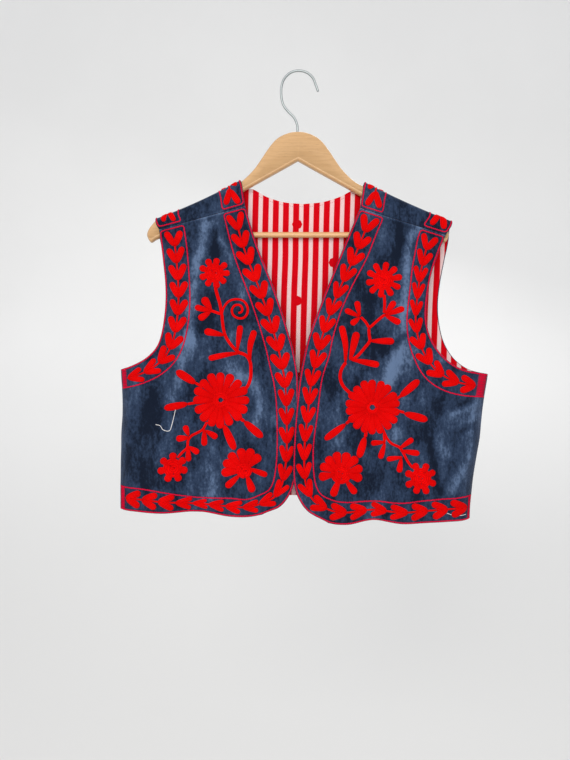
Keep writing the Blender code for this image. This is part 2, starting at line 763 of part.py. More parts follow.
def main():
    """Build every piece of the vest and its hanger."""
    for old in list(bpy.data.objects):
        bpy.data.objects.remove(old)
    parts = new_collection("folk_vest")
    cutters = new_collection("cutters")

    velvet = new_material("blue_velvet", (0.030, 0.050, 0.115), 0.85)
    cotton = new_material("striped_cotton", (0.78, 0.30, 0.28), 0.80)
    wool = new_material("red_wool", (0.74, 0.010, 0.012), 0.80)
    beech = new_material("beech", (0.72, 0.44, 0.20), 0.45)
    pale_beech = new_material("pale_beech", (0.80, 0.56, 0.30), 0.50)
    steel = new_material("steel", (0.62, 0.65, 0.65), 0.25, 1.0)

    build_front("right_front", velvet, parts)
    build_front("left_front", velvet, parts)
    build_back(velvet, parts)
    build_lining(cotton, parts)
    for flower in FLOWERS:
        build_flower(flower, wool, parts)
    build_arms(beech, parts, cutters)
    build_bar(pale_beech, parts)
    build_hook(steel, parts)


main()
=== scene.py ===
"""Dresses the embroidered folk vest and its wooden hanger.

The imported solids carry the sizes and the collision. This script lays the fine
surfaces on the same reference surface: the velvet fronts and back, the striped
lining, the wool embroidery with its chain-stitched edge lines, and the hanger.

Lengths are millimetres until a mesh is made. A place on a front is its (x, z).
A place on the back is (x, laid z), where laid z is the height that the point
would have if the yoke were opened out upwards from the fold of the shoulder,
so that distances along the cloth stay true over the fold.
"""

import logging
import math
from collections.abc import Callable
from dataclasses import dataclass, field
from enum import Enum

import bpy
import numpy as np
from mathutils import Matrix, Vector


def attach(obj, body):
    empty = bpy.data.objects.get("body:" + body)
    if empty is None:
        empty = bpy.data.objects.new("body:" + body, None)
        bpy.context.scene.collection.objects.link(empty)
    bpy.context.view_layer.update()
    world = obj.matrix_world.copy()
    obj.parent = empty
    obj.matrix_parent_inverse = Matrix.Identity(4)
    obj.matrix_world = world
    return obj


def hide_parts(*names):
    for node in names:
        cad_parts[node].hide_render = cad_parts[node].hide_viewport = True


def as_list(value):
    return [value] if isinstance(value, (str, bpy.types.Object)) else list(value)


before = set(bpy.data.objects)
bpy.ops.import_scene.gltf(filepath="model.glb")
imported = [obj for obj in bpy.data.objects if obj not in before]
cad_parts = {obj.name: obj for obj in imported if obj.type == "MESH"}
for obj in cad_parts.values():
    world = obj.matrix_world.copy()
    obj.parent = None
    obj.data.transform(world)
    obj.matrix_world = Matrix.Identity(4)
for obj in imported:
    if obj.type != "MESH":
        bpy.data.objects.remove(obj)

LOG = logging.getLogger("folk_vest")
MM = 0.001
# how far the needlework stays from the side seams and from the seams in front of the shoulders
SIDE_CLEAR = 2.0
SEAM_CLEAR = 3.4
# a line of fewer points than this is smoothed, with as many new points for each of its own
SMOOTHED = 40
Array = np.ndarray
Piece = bpy.types.Object
Material = bpy.types.Material
Node = bpy.types.Node
NodeTree = bpy.types.NodeTree
Socket = bpy.types.NodeSocket
Color = tuple[float, float, float]
Row = tuple[float, ...]
Rows = tuple[Row, ...]


class Side(Enum):
    """Side of the vest, as the viewer sees it from the front."""

    LEFT = "left"
    RIGHT = "right"

    @property
    def hand(self) -> float:
        """1 where the middle of the vest lies to the viewer's right of this side."""
        return 1.0 if self is Side.LEFT else -1.0


class Panel(Enum):
    """Cloth panel, named for the wearer's side."""

    RIGHT_FRONT = "right_front"
    LEFT_FRONT = "left_front"
    BACK = "back"


class Thread(Enum):
    """Thread that a stitch is worked in; the value is its place in the materials."""

    WOOL = 0
    EDGING = 1
    COTTON = 2


# ---- curves


def hermite(start: Array, end: Array, leave: Array, arrive: Array, t: Array) -> Array:
    """Cubic from start to end as t goes from 0 to 1, with the slopes leave and arrive at its ends."""
    ends = start * (2 * t**3 - 3 * t**2 + 1) + end * (3 * t**2 - 2 * t**3)
    return ends + leave * (t**3 - 2 * t**2 + t) + arrive * (t**3 - t**2)


def cubic(value: Array, keys: Array, values: Array) -> Array:
    """Cubic through (keys, values), flat beyond the ends.

    Args:
        value: Where the curve is read.
        keys: Places of the known values, rising or falling.
        values: The known values.

    Returns:
        The curve at each value.
    """
    order = np.argsort(keys)
    keys, values = np.asarray(keys, float)[order], np.asarray(values, float)[order]
    value = np.clip(value, keys[0], keys[-1])
    slopes = np.gradient(values, keys)
    slot = np.clip(np.searchsorted(keys, value, side="right") - 1, 0, len(keys) - 2)
    span = keys[slot + 1] - keys[slot]
    t = (value - keys[slot]) / span
    return hermite(values[slot], values[slot + 1], slopes[slot] * span, slopes[slot + 1] * span, t)


def lookup(rows: Rows, value: Array, column: int = 1) -> Array:
    """Cubic through one column of a table, over its first column."""
    table = np.array(rows, float)
    return cubic(value, table[:, 0], table[:, column])


def ease(t: Array) -> Array:
    """Smooth step from 0 to 1."""
    t = np.clip(t, 0.0, 1.0)
    return t * t * (3.0 - 2.0 * t)


def quarter_circle(t: Array) -> Array:
    """Height of a rounded edge: 0 at t = 0, then a quarter circle up to 1 at t = 1."""
    t = np.clip(t, 0.0, 1.0)
    return np.sqrt(t * (2.0 - t))


def unit(direction: Array) -> Array:
    """Directions brought to length 1."""
    return direction / np.linalg.norm(direction, axis=-1, keepdims=True)


def left_of(ahead: Array) -> Array:
    """Directions over the cloth turned a quarter to the left."""
    return np.stack([-ahead[..., 1], ahead[..., 0]], axis=-1)


def steps_of(points: Array) -> Array:
    """Distance from each point to the next."""
    return np.linalg.norm(np.diff(points, axis=0), axis=1)


def runs_of(points: Array) -> Array:
    """Distance along a line at each of its points."""
    return np.r_[0.0, np.cumsum(steps_of(points))]


def off_line(x: Array, z: Array, x0: float, z0: float, x1: float, z1: float) -> tuple[Array, Array]:
    """How far along a straight line places lie, 0 to 1, and the squares of their distances from it."""
    t = np.clip(((x - x0) * (x1 - x0) + (z - z0) * (z1 - z0)) / ((x1 - x0) ** 2 + (z1 - z0) ** 2), 0.0, 1.0)
    return t, (x - x0 - t * (x1 - x0)) ** 2 + (z - z0 - t * (z1 - z0)) ** 2


def curve_through(points: Array, corners: tuple[int, ...], u: Array) -> Array:
    """Smooth curve through points: a cubic over each chord, which keeps its corners.

    Args:
        points: The points, one row each.
        corners: Which of them are corners.
        u: Where the curve is read: 2.5 is halfway from point 2 to point 3.

    Returns:
        One point for each u.
    """
    points = np.asarray(points, float)
    step = np.diff(points, axis=0)
    chord = steps_of(points)[:, None]
    leave, arrive = step.copy(), step.copy()
    if len(points) > 2:
        tangent = (points[2:] - points[:-2]) / (chord[1:] + chord[:-1])
        keep = np.array([i in corners for i in range(1, len(points) - 1)])[:, None]
        leave[1:] = np.where(keep, step[1:], tangent * chord[1:])
        arrive[:-1] = np.where(keep, step[:-1], tangent * chord[:-1])
    slot = np.clip(np.floor(u).astype(int), 0, len(step) - 1)
    t = (u - slot)[:, None]
    return hermite(points[slot], points[slot + 1], leave[slot], arrive[slot], t)


@dataclass(frozen=True)
class Track:
    """A line over the cloth, with points about a millimetre apart."""

    points: Array

    @staticmethod
    def through(points: Array, blur: float = 0.0) -> "Track":
        """Line through given points.

        Args:
            points: Points of the line, any distance apart.
            blur: How far its corners are rounded.

        Returns:
            The line with even points.
        """
        points = np.asarray(points, float)
        if len(points) < SMOOTHED:
            points = curve_through(points, (), np.linspace(0, len(points) - 1, SMOOTHED * len(points)))
        run = runs_of(points)
        even = np.linspace(0.0, run[-1], max(4, int(round(run[-1]))))
        made = np.stack([np.interp(even, run, part) for part in points.T], axis=-1)
        if blur:
            reach = int(blur)
            index = np.arange(-reach, len(made) + reach)
            held = np.clip(index, 0, len(made) - 1)
            slope = np.where(index[:, None] < 0, made[1] - made[0], made[-1] - made[-2])
            drawn_on = made[held] + slope * (index - held)[:, None]
            weights = np.hanning(2 * reach + 3)[1:-1]
            made = np.stack([np.convolve(part, weights / weights.sum(), "valid") for part in drawn_on.T], axis=-1)
        return Track(made)

    @staticmethod
    def over(x: Array, z: Array, blur: float) -> "Track":
        """Line through places given by their x and z."""
        return Track.through(np.stack([x, z], axis=-1), blur)

    @property
    def runs(self) -> Array:
        """Distance along the line at each of its points."""
        return runs_of(self.points)

    @property
    def length(self) -> float:
        """Length of the line."""
        return float(self.runs[-1])

    @property
    def normals(self) -> Array:
        """Unit vectors to the left of the travel."""
        return left_of(unit(np.gradient(self.points, axis=0)))

    def at(self, distance: Array) -> Array:
        """Points of the line, which goes straight on past its ends.

        Args:
            distance: Distances along the line.

        Returns:
            A point for each.
        """
        runs = self.runs
        made = np.stack([np.interp(distance, runs, part) for part in self.points.T], axis=-1)
        before = np.minimum(distance, 0.0)[..., None] * (self.points[1] - self.points[0])
        after = np.maximum(distance - runs[-1], 0.0)[..., None] * (self.points[-1] - self.points[-2])
        return made + before + after

    def heading(self, distance: Array, step: float) -> tuple[Array, Array]:
        """Unit vectors ahead and to the left at distances along the line."""
        ahead = unit(self.at(distance + step) - self.at(distance - step))
        return ahead, left_of(ahead)

    def beside(self, distance: Array) -> "Track":
        """The line moved to the left of the travel by a distance at each point."""
        return Track(self.points + self.normals * np.broadcast_to(distance, len(self.points))[:, None])

    def between(self, start: float, end: float) -> "Track":
        """The part of the line between two distances along it."""
        return Track.through(self.at(np.linspace(start, end, max(13, int(abs(end - start))))))

    def clipped(self, keep: Callable[[Array], Array], beyond: float = 60.0, step: float = 0.5) -> "Track":
        """The line drawn on past its ends, then cut where it first leaves the kept places.

        Args:
            keep: Tells which points are kept.
            beyond: How far the line is drawn on.
            step: Distance between the points that are tried.

        Returns:
            The line round its own middle that is kept.
        """
        points = self.at(np.arange(-beyond, self.length + beyond, step))
        kept = keep(points)
        middle = len(points) // 2
        before = np.flatnonzero(~kept[:middle])
        after = np.flatnonzero(~kept[middle:])
        first = before[-1] + 1 if len(before) else 0
        last = middle + after[0] if len(after) else len(points)
        return Track.through(points[first:last])


# ---- form

# line over the panel, half width, height at its top, middle and foot
FOLDS: dict[Panel, Rows] = {
    Panel.RIGHT_FRONT: (
        (-133, -228, -176, -420, 24, 0.4, 2.2, 0.8),
        (-95, -250, -120, -390, 22, 0, -1.6, 0),
        (-182, -470, -196, -640, 24, 0, 1.6, 3.6),
        (-142, -500, -138, -640, 22, 0, -1.2, -3),
        (-96, -520, -92, -645, 23, 0, 1.2, 3.4),
        (-226, -450, -232, -640, 17, -0.4, -1.8, -2.6),
    ),
    Panel.LEFT_FRONT: (
        (166, -228, 152, -400, 24, 0.4, 2.2, 0.6), (118, -240, 92, -380, 22, 0, -1.6, 0),
        (66, -520, 64, -655, 22, 0, 1.2, 3), (108, -510, 108, -655, 22, 0, -1.2, -3.2),
        (150, -480, 146, -655, 23, 0, 1.6, 3.6),
        (198, -505, 216, -635, 17, -0.6, -2.6, -2.8),
    ),
    Panel.BACK: (
        (-60, -250, -110, -470, 30, 0, 2.4, 0.6), (95, -240, 130, -450, 32, 0, 2.6, 0.8),
        (15, -330, 4, -640, 34, 0, -1.8, -3), (-70, -450, -78, -640, 26, 0, 1.8, 3.6),
        (-160, -440, -168, -640, 25, 0, 1.4, 3.2), (84, -470, 80, -645, 26, 0, 1.8, 3.8),
        (170, -440, 172, -650, 26, 0, 1.6, 3.2),
    ),
}
# turns in a millimetre across and down the cloth, and height
RIPPLES: Rows = ((0.112, 0.036, 0.16), (-0.071, 0.083, 0.15), (0.026, 0.147, 0.10), (0.168, -0.061, 0.10))
# the finer creases of the worn cloth: line over the panel, width, height and lean
CREASES: dict[Panel, Rows] = {
    Panel.RIGHT_FRONT: (
        (-128, -222, -152, -345, 9, 1.3, 0.3), (-112, -225, -118, -300, 7, -1.2, -0.2),
        (-102, -236, -76, -352, 8, 1.2, 0.2), (-150, -330, -178, -500, 11, 1.5, -0.3),
        (-126, -330, -136, -400, 10, -1.1), (-70, -430, -58, -540, 8, 1.4, 0.4),
        (-52, -450, -42, -560, 6, -0.9), (-236, -440, -243, -560, 7, 1.3, 0.3),
        (-216, -470, -214, -625, 13, -1.5, 0.2), (-126, -535, -122, -655, 11, 1.3, -0.2),
        (-150, -560, -158, -665, 9, -1.3, 0.3), (-62, -560, -56, -655, 10, -1),
        (-205, -395, -176, -440, 7, -0.9, 0.3), (-186, -560, -192, -660, 9, 1),
    ),
    Panel.LEFT_FRONT: (
        (181, -222, 156, -345, 7, 1.6, 0.3), (151, -232, 142, -300, 8, -1.2, -0.2),
        (126, -215, 120, -268, 8, 0.9), (156, -335, 124, -470, 9, 1.7, -0.3),
        (160, -372, 112, -418, 5, -1.5, 0.3), (134, -385, 123, -465, 10, 1),
        (104, -325, 106, -385, 8, -0.9), (154, -465, 138, -545, 11, 1.2, 0.2),
        (184, -512, 204, -635, 7, -2, 0.4), (204, -520, 222, -640, 8, 1.4, -0.3),
        (246, -545, 214, -640, 9, 1.6, 0.3), (206, -492, 262, -468, 5, -1.2, 0.2),
        (210, -503, 262, -484, 4.5, 1.1), (216, -530, 258, -508, 5, -1.1, 0.2),
        (206, -455, 178, -530, 11, -1.1, -0.3), (56, -470, 50, -560, 11, 1),
        (84, -545, 86, -665, 10, -1, 0.2), (170, -560, 168, -668, 10, -1.2),
        (128, -560, 126, -668, 9, 1, -0.3),
    ),
    Panel.BACK: (
        (-120, -225, -146, -360, 10, 1.4, 0.3), (-96, -240, -90, -350, 9, -1.2),
        (-150, -340, -176, -520, 12, 1.6, -0.3), (-40, -300, -30, -470, 12, -1.4, 0.2),
        (-210, -450, -226, -620, 9, 1.5, 0.3), (-120, -480, -128, -655, 11, -1.4, 0.2),
        (-44, -500, -40, -640, 10, 1.2), (40, -260, 52, -420, 11, 1.3, -0.2),
        (118, -230, 150, -350, 9, 1.5, 0.2), (160, -300, 176, -470, 12, -1.4, 0.3),
        (44, -470, 38, -650, 11, -1.3), (126, -470, 128, -660, 10, -1.5, 0.3),
        (212, -450, 226, -640, 9, 1.5, -0.2), (196, -400, 252, -470, 6, -1.2),
        (-190, -400, -240, -462, 6, -1.2),
    ),
}


@dataclass(frozen=True)
class VestForm:
    """The cut of the vest and the reference surface that its layers lie on."""

    velvet: float = 1.8
    lining: float = 1.0
    layer_gap: float = 0.5
    clearance: float = 0.25
    side_rounding: float = 14.0
    lap_top: float = -430.0
    lap_fade: float = 60.0
    lap_width: float = 45.0
    lap_parting: float = 4.2
    hem_reach: float = 45.0
    wrap_radius: float = 7.0
    settle_start: float = 6.0
    settle_run: float = 11.0
    centre_x: float = 9.0
    neck_z: float = -190.0
    # z, then how deep the front and the back lie
    depths: Rows = (
        (-140, 7, 7), (-250, 8.2, 7.8), (-335, 14.5, 9.8), (-440, 20, 11.8), (-560, 23.5, 12.8), (-665, 22.5, 12),
    )
    # z, then x of the side seam at the viewer's left and right
    sides: Rows = (
        (-230, -266, 292), (-436, -256, 275), (-485, -254, 268), (-535, -255.5, 262.5),
        (-575, -256.5, 255.5), (-615, -257, 250.5), (-665, -257.5, 248),
    )
    # the viewer's left and right: neck x and z, shoulder point x and z, sag between them
    shoulders: Rows = ((-82, -157.5, -206, -214, 3), (95, -160.5, 223, -218, 2))
    # the same for the seams in front of the shoulders
    seams: Rows = ((-76.5, -198, -200.5, -232), (89.5, -201, 212.5, -240))
    # x, then how far the hem rises above its straight run
    back_hem: Rows = ((-258, 0), (-165, 3), (-75, 5.5), (9, 0), (95, 6.5), (185, 4), (250, 0))
    front_hem: Rows = (
        (-258, 0), (-195, -1), (-135, 1), (-92, -4.5), (-76, -4.9), (-62, -3.6), (-52, -1.6), (-42, -0.3), (-28, 0),
        (32, 0), (40, -0.4), (52, -2.6), (68, -3.2), (108, 2.5), (144, -2), (190, -1), (250, 0.5),
    )

    @property
    def front_middle(self) -> float:
        """Offset of the middle of the fronts' velvet."""
        return self.clearance + self.velvet / 2

    @property
    def back_middle(self) -> float:
        """Offset of the middle of the back's velvet, over its lining."""
        return self.clearance + self.lining + self.layer_gap + self.velvet / 2

    @property
    def lining_middle(self) -> float:
        """Offset of the middle of the lining."""
        return self.clearance + self.lining / 2

    def side_x(self, z: Array, side: Side) -> Array:
        """Where the side seam runs at height z."""
        return lookup(self.sides, z, 1 if side is Side.LEFT else 2)

    def stand_out(self, x: Array, z: Array, panel: Panel) -> Array:
        """How far the broad folds stand out: a bell across each line, its height a cubic along it.

        Args:
            x: Places over the panel.
            z: Places over the panel.
            panel: The panel.

        Returns:
            The sum of the panel's folds.
        """
        total = np.zeros_like(x)
        for *line, width, top, middle, foot in FOLDS[panel]:
            t, away = off_line(x, z, *line)
            total += cubic(t, (0.0, 0.5, 1.0), (top, middle, foot)) * np.exp(-away / width**2)
        return total

    def parting(self, x: Array, z: Array) -> Array:
        """How far the layers have parted from the side seams, 0 to 1, exponentially from each seam."""
        gaps = (x - self.side_x(z, Side.LEFT), self.side_x(z, Side.RIGHT) - x)
        return math.prod(1.0 - np.exp(-gap / self.side_rounding) for gap in gaps)

    def hem_rise(self, x: Array, z: Array, hem: Rows) -> Array:
        """How far a grid's foot rises to follow its hem, which fades upwards over the hem's reach."""
        return lookup(hem, x) * ease((self.hem_reach - z + z[-1:, :]) / self.hem_reach)

    def front_depth(self, x: Array, z: Array, panel: Panel) -> Array:
        """Y of a front: the depth table, its folds and the lap, parted from the side seams.

        Args:
            x: Places over the front.
            z: Places over the front.
            panel: Which front.

        Returns:
            Y of the reference surface.
        """
        out = lookup(self.depths, z) + self.stand_out(x, z, panel)
        lap = ease((self.lap_top - z) / self.lap_fade) * np.exp(-((x / self.lap_width) ** 2)) * self.lap_parting / 2
        out = out + (lap if panel is Panel.LEFT_FRONT else -lap)
        return -out * self.parting(x, z)

    def back_depth(self, x: Array, z: Array) -> Array:
        """Y of the back: the depth table and its folds, parted from the side seams."""
        out = lookup(self.depths, z, 2) + self.stand_out(x, z, Panel.BACK)
        return out * self.parting(x, z)

    def crest_z(self, x: Array, side: Side) -> Array:
        """Height of the reference surface along the shoulder's fold: a sagging line, less the layers.

        Args:
            x: Places along the shoulder.
            side: Which shoulder.

        Returns:
            Height at each place.
        """
        neck_x, neck_z, point_x, point_z, sag = self.shoulders[side is Side.RIGHT]
        slope = (point_z - neck_z) / (point_x - neck_x)
        t = np.clip((x - neck_x) / (point_x - neck_x), 0.0, 1.0)
        layers = (self.back_middle + self.velvet / 2) * math.hypot(1.0, slope)
        return neck_z + slope * (x - neck_x) - sag * 4 * t * (1 - t) - layers

    def inside(self, points: Array, side: Side) -> Array:
        """Distance of points from a side seam, towards the middle."""
        return (points[..., 0] - self.side_x(points[..., 1], side)) * side.hand

    def below_seam(self, points: Array, side: Side) -> Array:
        """Distance of points below the seam in front of a shoulder.

        Args:
            points: Points over the panel.
            side: Which shoulder.

        Returns:
            The distance of each.
        """
        x0, z0, x1, z1 = self.seams[side is Side.RIGHT]
        slope = (z1 - z0) / (x1 - x0)
        return (z0 + slope * (points[..., 0] - x0) - points[..., 1]) / math.hypot(1.0, slope)

    def fold_top(self, x: Array, side: Side) -> Array:
        """Height of the top of the fold, as laid z and as the z of the yoke drawn out straight."""
        return self.crest_z(x, side) + (math.pi / 2 - 1.0) * self.wrap_radius

    def under_fold(self, points: Array, side: Side) -> Array:
        """Whether points lie below the top of a shoulder's fold."""
        return points[..., 1] < self.fold_top(points[..., 0], side)

    def unfolded(self, x: Array, z: Array, side: Side) -> Array:
        """Laid z of a point in front of the shoulder's fold at height z; it turns laid z back into z too."""
        tangent = self.crest_z(x, side) - self.wrap_radius
        return tangent + math.pi * self.wrap_radius + (tangent - z)


class Surface:
    """A reference surface that cloth and stitches are laid on."""

    outward = 1.0
    slope_step = 0.2
    # share of a crease's length over which it fades, and the ripples' turn from one to the next
    crease_fade = 0.35
    ripple_turn = 1.7
    # where the relief starts, and over what height it comes in
    relief_tops = {Panel.RIGHT_FRONT: (-225.0, 30.0), Panel.LEFT_FRONT: (-225.0, 30.0), Panel.BACK: (-215.0, 40.0)}

    def __init__(self, form: VestForm, panel: Panel) -> None:
        """Keeps the form and the panel, whose creases the surface carries."""
        self.form = form
        self.panel = panel

    def relief(self, x: Array, z: Array) -> Array:
        """Fine creases and an uneven ripple.

        A crease is a bell across its line, steeper on one side, that fades at both ends. The ripple is a sum of
        crossing waves.

        Args:
            x: Places over the panel.
            z: Places over the panel.

        Returns:
            How far the cloth stands out from the reference surface.
        """
        total = np.zeros(np.shape(x))
        for top_x, top_z, foot_x, foot_z, width, height, *lean in CREASES[self.panel]:
            run_x, run_z = foot_x - top_x, foot_z - top_z
            length = math.hypot(run_x, run_z)
            t = ((x - top_x) * run_x + (z - top_z) * run_z) / length**2
            away = ((x - top_x) * run_z - (z - top_z) * run_x) / length
            wide = width * (1.0 + sum(lean) * np.sign(away))
            ends = ease(t / self.crease_fade) * ease((1.0 - t) / self.crease_fade)
            total += height * np.exp(-((away / wide) ** 2)) * ends
        for i, (across, along, height) in enumerate(RIPPLES):
            total += height * np.sin(across * x + along * z + self.ripple_turn * i)
        top, fade = self.relief_tops[self.panel]
        return total * ease((top - z) / fade)

    def lifted(self, x: Array, z: Array, offset: Array) -> Array:
        """Points moved out along the normals, which come from differences of the surface.

        Args:
            x: Places over the panel.
            z: Places over the panel.
            offset: How far from the reference surface.

        Returns:
            The points, with x, y and z in the last axis.
        """
        step = self.slope_step
        across = self.at(x + step, z) - self.at(x - step, z)
        along = self.at(x, z + step) - self.at(x, z - step)
        normal = unit(np.cross(across, along) * self.outward)
        return self.at(x, z) + normal * np.asarray(offset + self.relief(x, z))[..., None]

    def on_top(self, x: Array, z: Array, above: Array) -> Array:
        """Points above the velvet's outer face."""
        return self.lifted(x, z, self.middle(x, z) + self.form.velvet / 2 + above)


class FrontSurface(Surface):
    """The reference surface of a front."""

    def at(self, x: Array, z: Array) -> Array:
        """Points of the front at (x, z)."""
        return np.stack([x, self.form.front_depth(x, z, self.panel), z], axis=-1)

    def middle(self, x: Array, z: Array) -> Array:
        """Offset of the middle of the velvet, the same all over."""
        return np.full(np.shape(x), self.form.front_middle)


class BackSurface(Surface):
    """The reference surface of the back, which folds forward over the hanger."""

    outward = -1.0

    def __init__(self, form: VestForm, side: Side) -> None:
        """Keeps the form and the side whose shoulder the surface folds over."""
        super().__init__(form, Panel.BACK)
        self.side = side

    def at(self, x: Array, z: Array) -> Array:
        """Points at (x, laid z): behind, then a half circle over the fold, then down the front.

        Args:
            x: Places over the back.
            z: Laid z of the places.

        Returns:
            The points.
        """
        form = self.form
        radius = form.wrap_radius
        front = Panel.RIGHT_FRONT if self.side is Side.LEFT else Panel.LEFT_FRONT
        tangent = form.crest_z(x, self.side) - radius
        angle = np.clip((z - tangent) / radius, 0.0, math.pi)
        beyond = np.maximum(z - tangent - math.pi * radius, 0.0)
        height = np.where(z < tangent, z, tangent + radius * np.sin(angle) - beyond)
        behind = form.back_depth(x, height)
        before = form.front_depth(x, height, front)
        over = np.where(angle < math.pi / 2, form.back_depth(x, tangent), -form.front_depth(x, tangent, front))
        y = np.where(z < tangent, behind, np.where(beyond > 0, before, over * np.cos(angle)))
        return np.stack([x, y, height], axis=-1)

    def middle(self, x: Array, z: Array) -> Array:
        """Offset of the middle of the velvet: less in front of the fold, with no lining there."""
        settled = ease((z - self.form.fold_top(x, self.side) - self.form.settle_start) / self.form.settle_run)
        return self.form.back_middle + (self.form.front_middle - self.form.back_middle) * settled


class YokeSurface(Surface):
    """The front of a yoke at (x, z), drawn out straight over the top of its fold."""

    def __init__(self, back: BackSurface) -> None:
        """Keeps the back's surface, which this one is a part of."""
        super().__init__(back.form, Panel.BACK)
        self.back = back

    def on_top(self, x: Array, z: Array, above: Array) -> Array:
        """Points above the velvet's outer face."""
        return self.back.on_top(x, self.form.unfolded(x, z, self.back.side), above)


class LiningSurface(YokeSurface):
    """The lining's inner face, which is seen through the neckline."""

    def on_top(self, x: Array, z: Array, above: Array) -> Array:
        """Points above the inner face."""
        return self.back.lifted(x, z, self.form.clearance - above)


# ---- meshes


def grid_faces(index: Array, flip: bool = False) -> Array:
    """Quads between neighbours of a grid of vertex numbers; flip turns them to look the other way."""
    faces = np.stack([index[:-1, :-1], index[:-1, 1:], index[1:, 1:], index[1:, :-1]], axis=-1).reshape(-1, 4)
    return faces[:, ::-1] if flip else faces


def put_mesh(
    name: str,
    points: Array,
    faces: list[Array],
    materials: list[Material],
    slot: str,
    node: str = "",
    slots: list[Array] | None = None,
    uv: Array | None = None,
    nap_and_shading: Array | None = None,
) -> Piece:
    """Makes a smooth mesh object from arrays, which rides on the vest's only body.

    Args:
        name: Name of the piece.
        points: Vertices in millimetres.
        faces: Arrays of faces, each with its own number of corners.
        materials: Materials of the piece.
        slot: Name of its colour slot; not used.
        node: The node that it takes the place of, if any.
        slots: For each array of faces, the material slot of each face.
        uv: Place of each vertex in the piece's UV map.
        nap_and_shading: How the pile lies at each vertex, with painted highlights and painted shade.

    Returns:
        The piece.
    """
    mesh = bpy.data.meshes.new(name)
    corners = np.concatenate([part.ravel() for part in faces]).astype(np.int32)
    sizes = np.concatenate([np.full(len(part), part.shape[1], np.int32) for part in faces])
    mesh.vertices.add(len(points))
    mesh.vertices.foreach_set("co", (points * MM).astype(np.float32).ravel())
    mesh.loops.add(len(corners))
    mesh.loops.foreach_set("vertex_index", corners)
    mesh.polygons.add(len(sizes))
    mesh.polygons.foreach_set("loop_start", np.r_[0, np.cumsum(sizes)[:-1]].astype(np.int32))
    for material in materials:
        mesh.materials.append(material)
    if slots is not None:
        mesh.polygons.foreach_set("material_index", np.concatenate(slots).astype(np.int32))
    if uv is not None:
        mesh.uv_layers.new(name="UVMap").data.foreach_set("uv", uv[corners].astype(np.float32).ravel())
    if nap_and_shading is not None:
        mesh.attributes.new("nap_and_shading", "FLOAT", "POINT").data.foreach_set("value", nap_and_shading.astype(np.float32))
    mesh.update(calc_edges=True)
    mesh.validate()
    mesh.shade_smooth()
    made = bpy.data.objects.new(name, mesh)
    bpy.context.scene.collection.objects.link(made)
    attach(made, "root")
    if node:
        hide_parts(node)
    return made


def ring_faces(index: Array) -> Array:
    """Quads between neighbouring closed rings of vertex numbers."""
    turned = np.roll(index, -1, axis=1)
    return np.stack([index[:-1], index[1:], turned[1:], turned[:-1]], axis=-1).reshape(-1, 4)


def tube(centre: Array, radius: Array, sides: int, y: float = 0.0) -> tuple[Array, list[Array]]:
    """Round tube along a line in the XZ plane, with a point at each end.

    Args:
        centre: Points of the line.
        radius: Radius at each.
        sides: Points in a ring.
        y: Where its middle lies.

    Returns:
        The points and the faces.
    """
    side = left_of(unit(np.gradient(centre, axis=0)))
    angle = np.arange(sides) * 2 * math.pi / sides
    out = np.cos(angle)[None] * radius[:, None]
    x = centre[:, :1] + side[:, :1] * out
    z = centre[:, 1:] + side[:, 1:] * out
    rings = np.stack([x, y + np.sin(angle)[None] * radius[:, None], z], axis=-1)[1:-1]
    ends = np.array([(centre[0, 0], y, centre[0, 1]), (centre[-1, 0], y, centre[-1, 1])])
    index = 2 + np.arange(rings.shape[0] * sides).reshape(-1, sides)
    turned = np.roll(index, -1, axis=1)
    first = np.stack([np.zeros(sides, int), index[0], turned[0]], axis=-1)
    last = np.stack([np.ones(sides, int), turned[-1], index[-1]], axis=-1)
    return np.concatenate([ends, rings.reshape(-1, 3)]), [ring_faces(index), np.concatenate([first, last])]


# ---- finishes


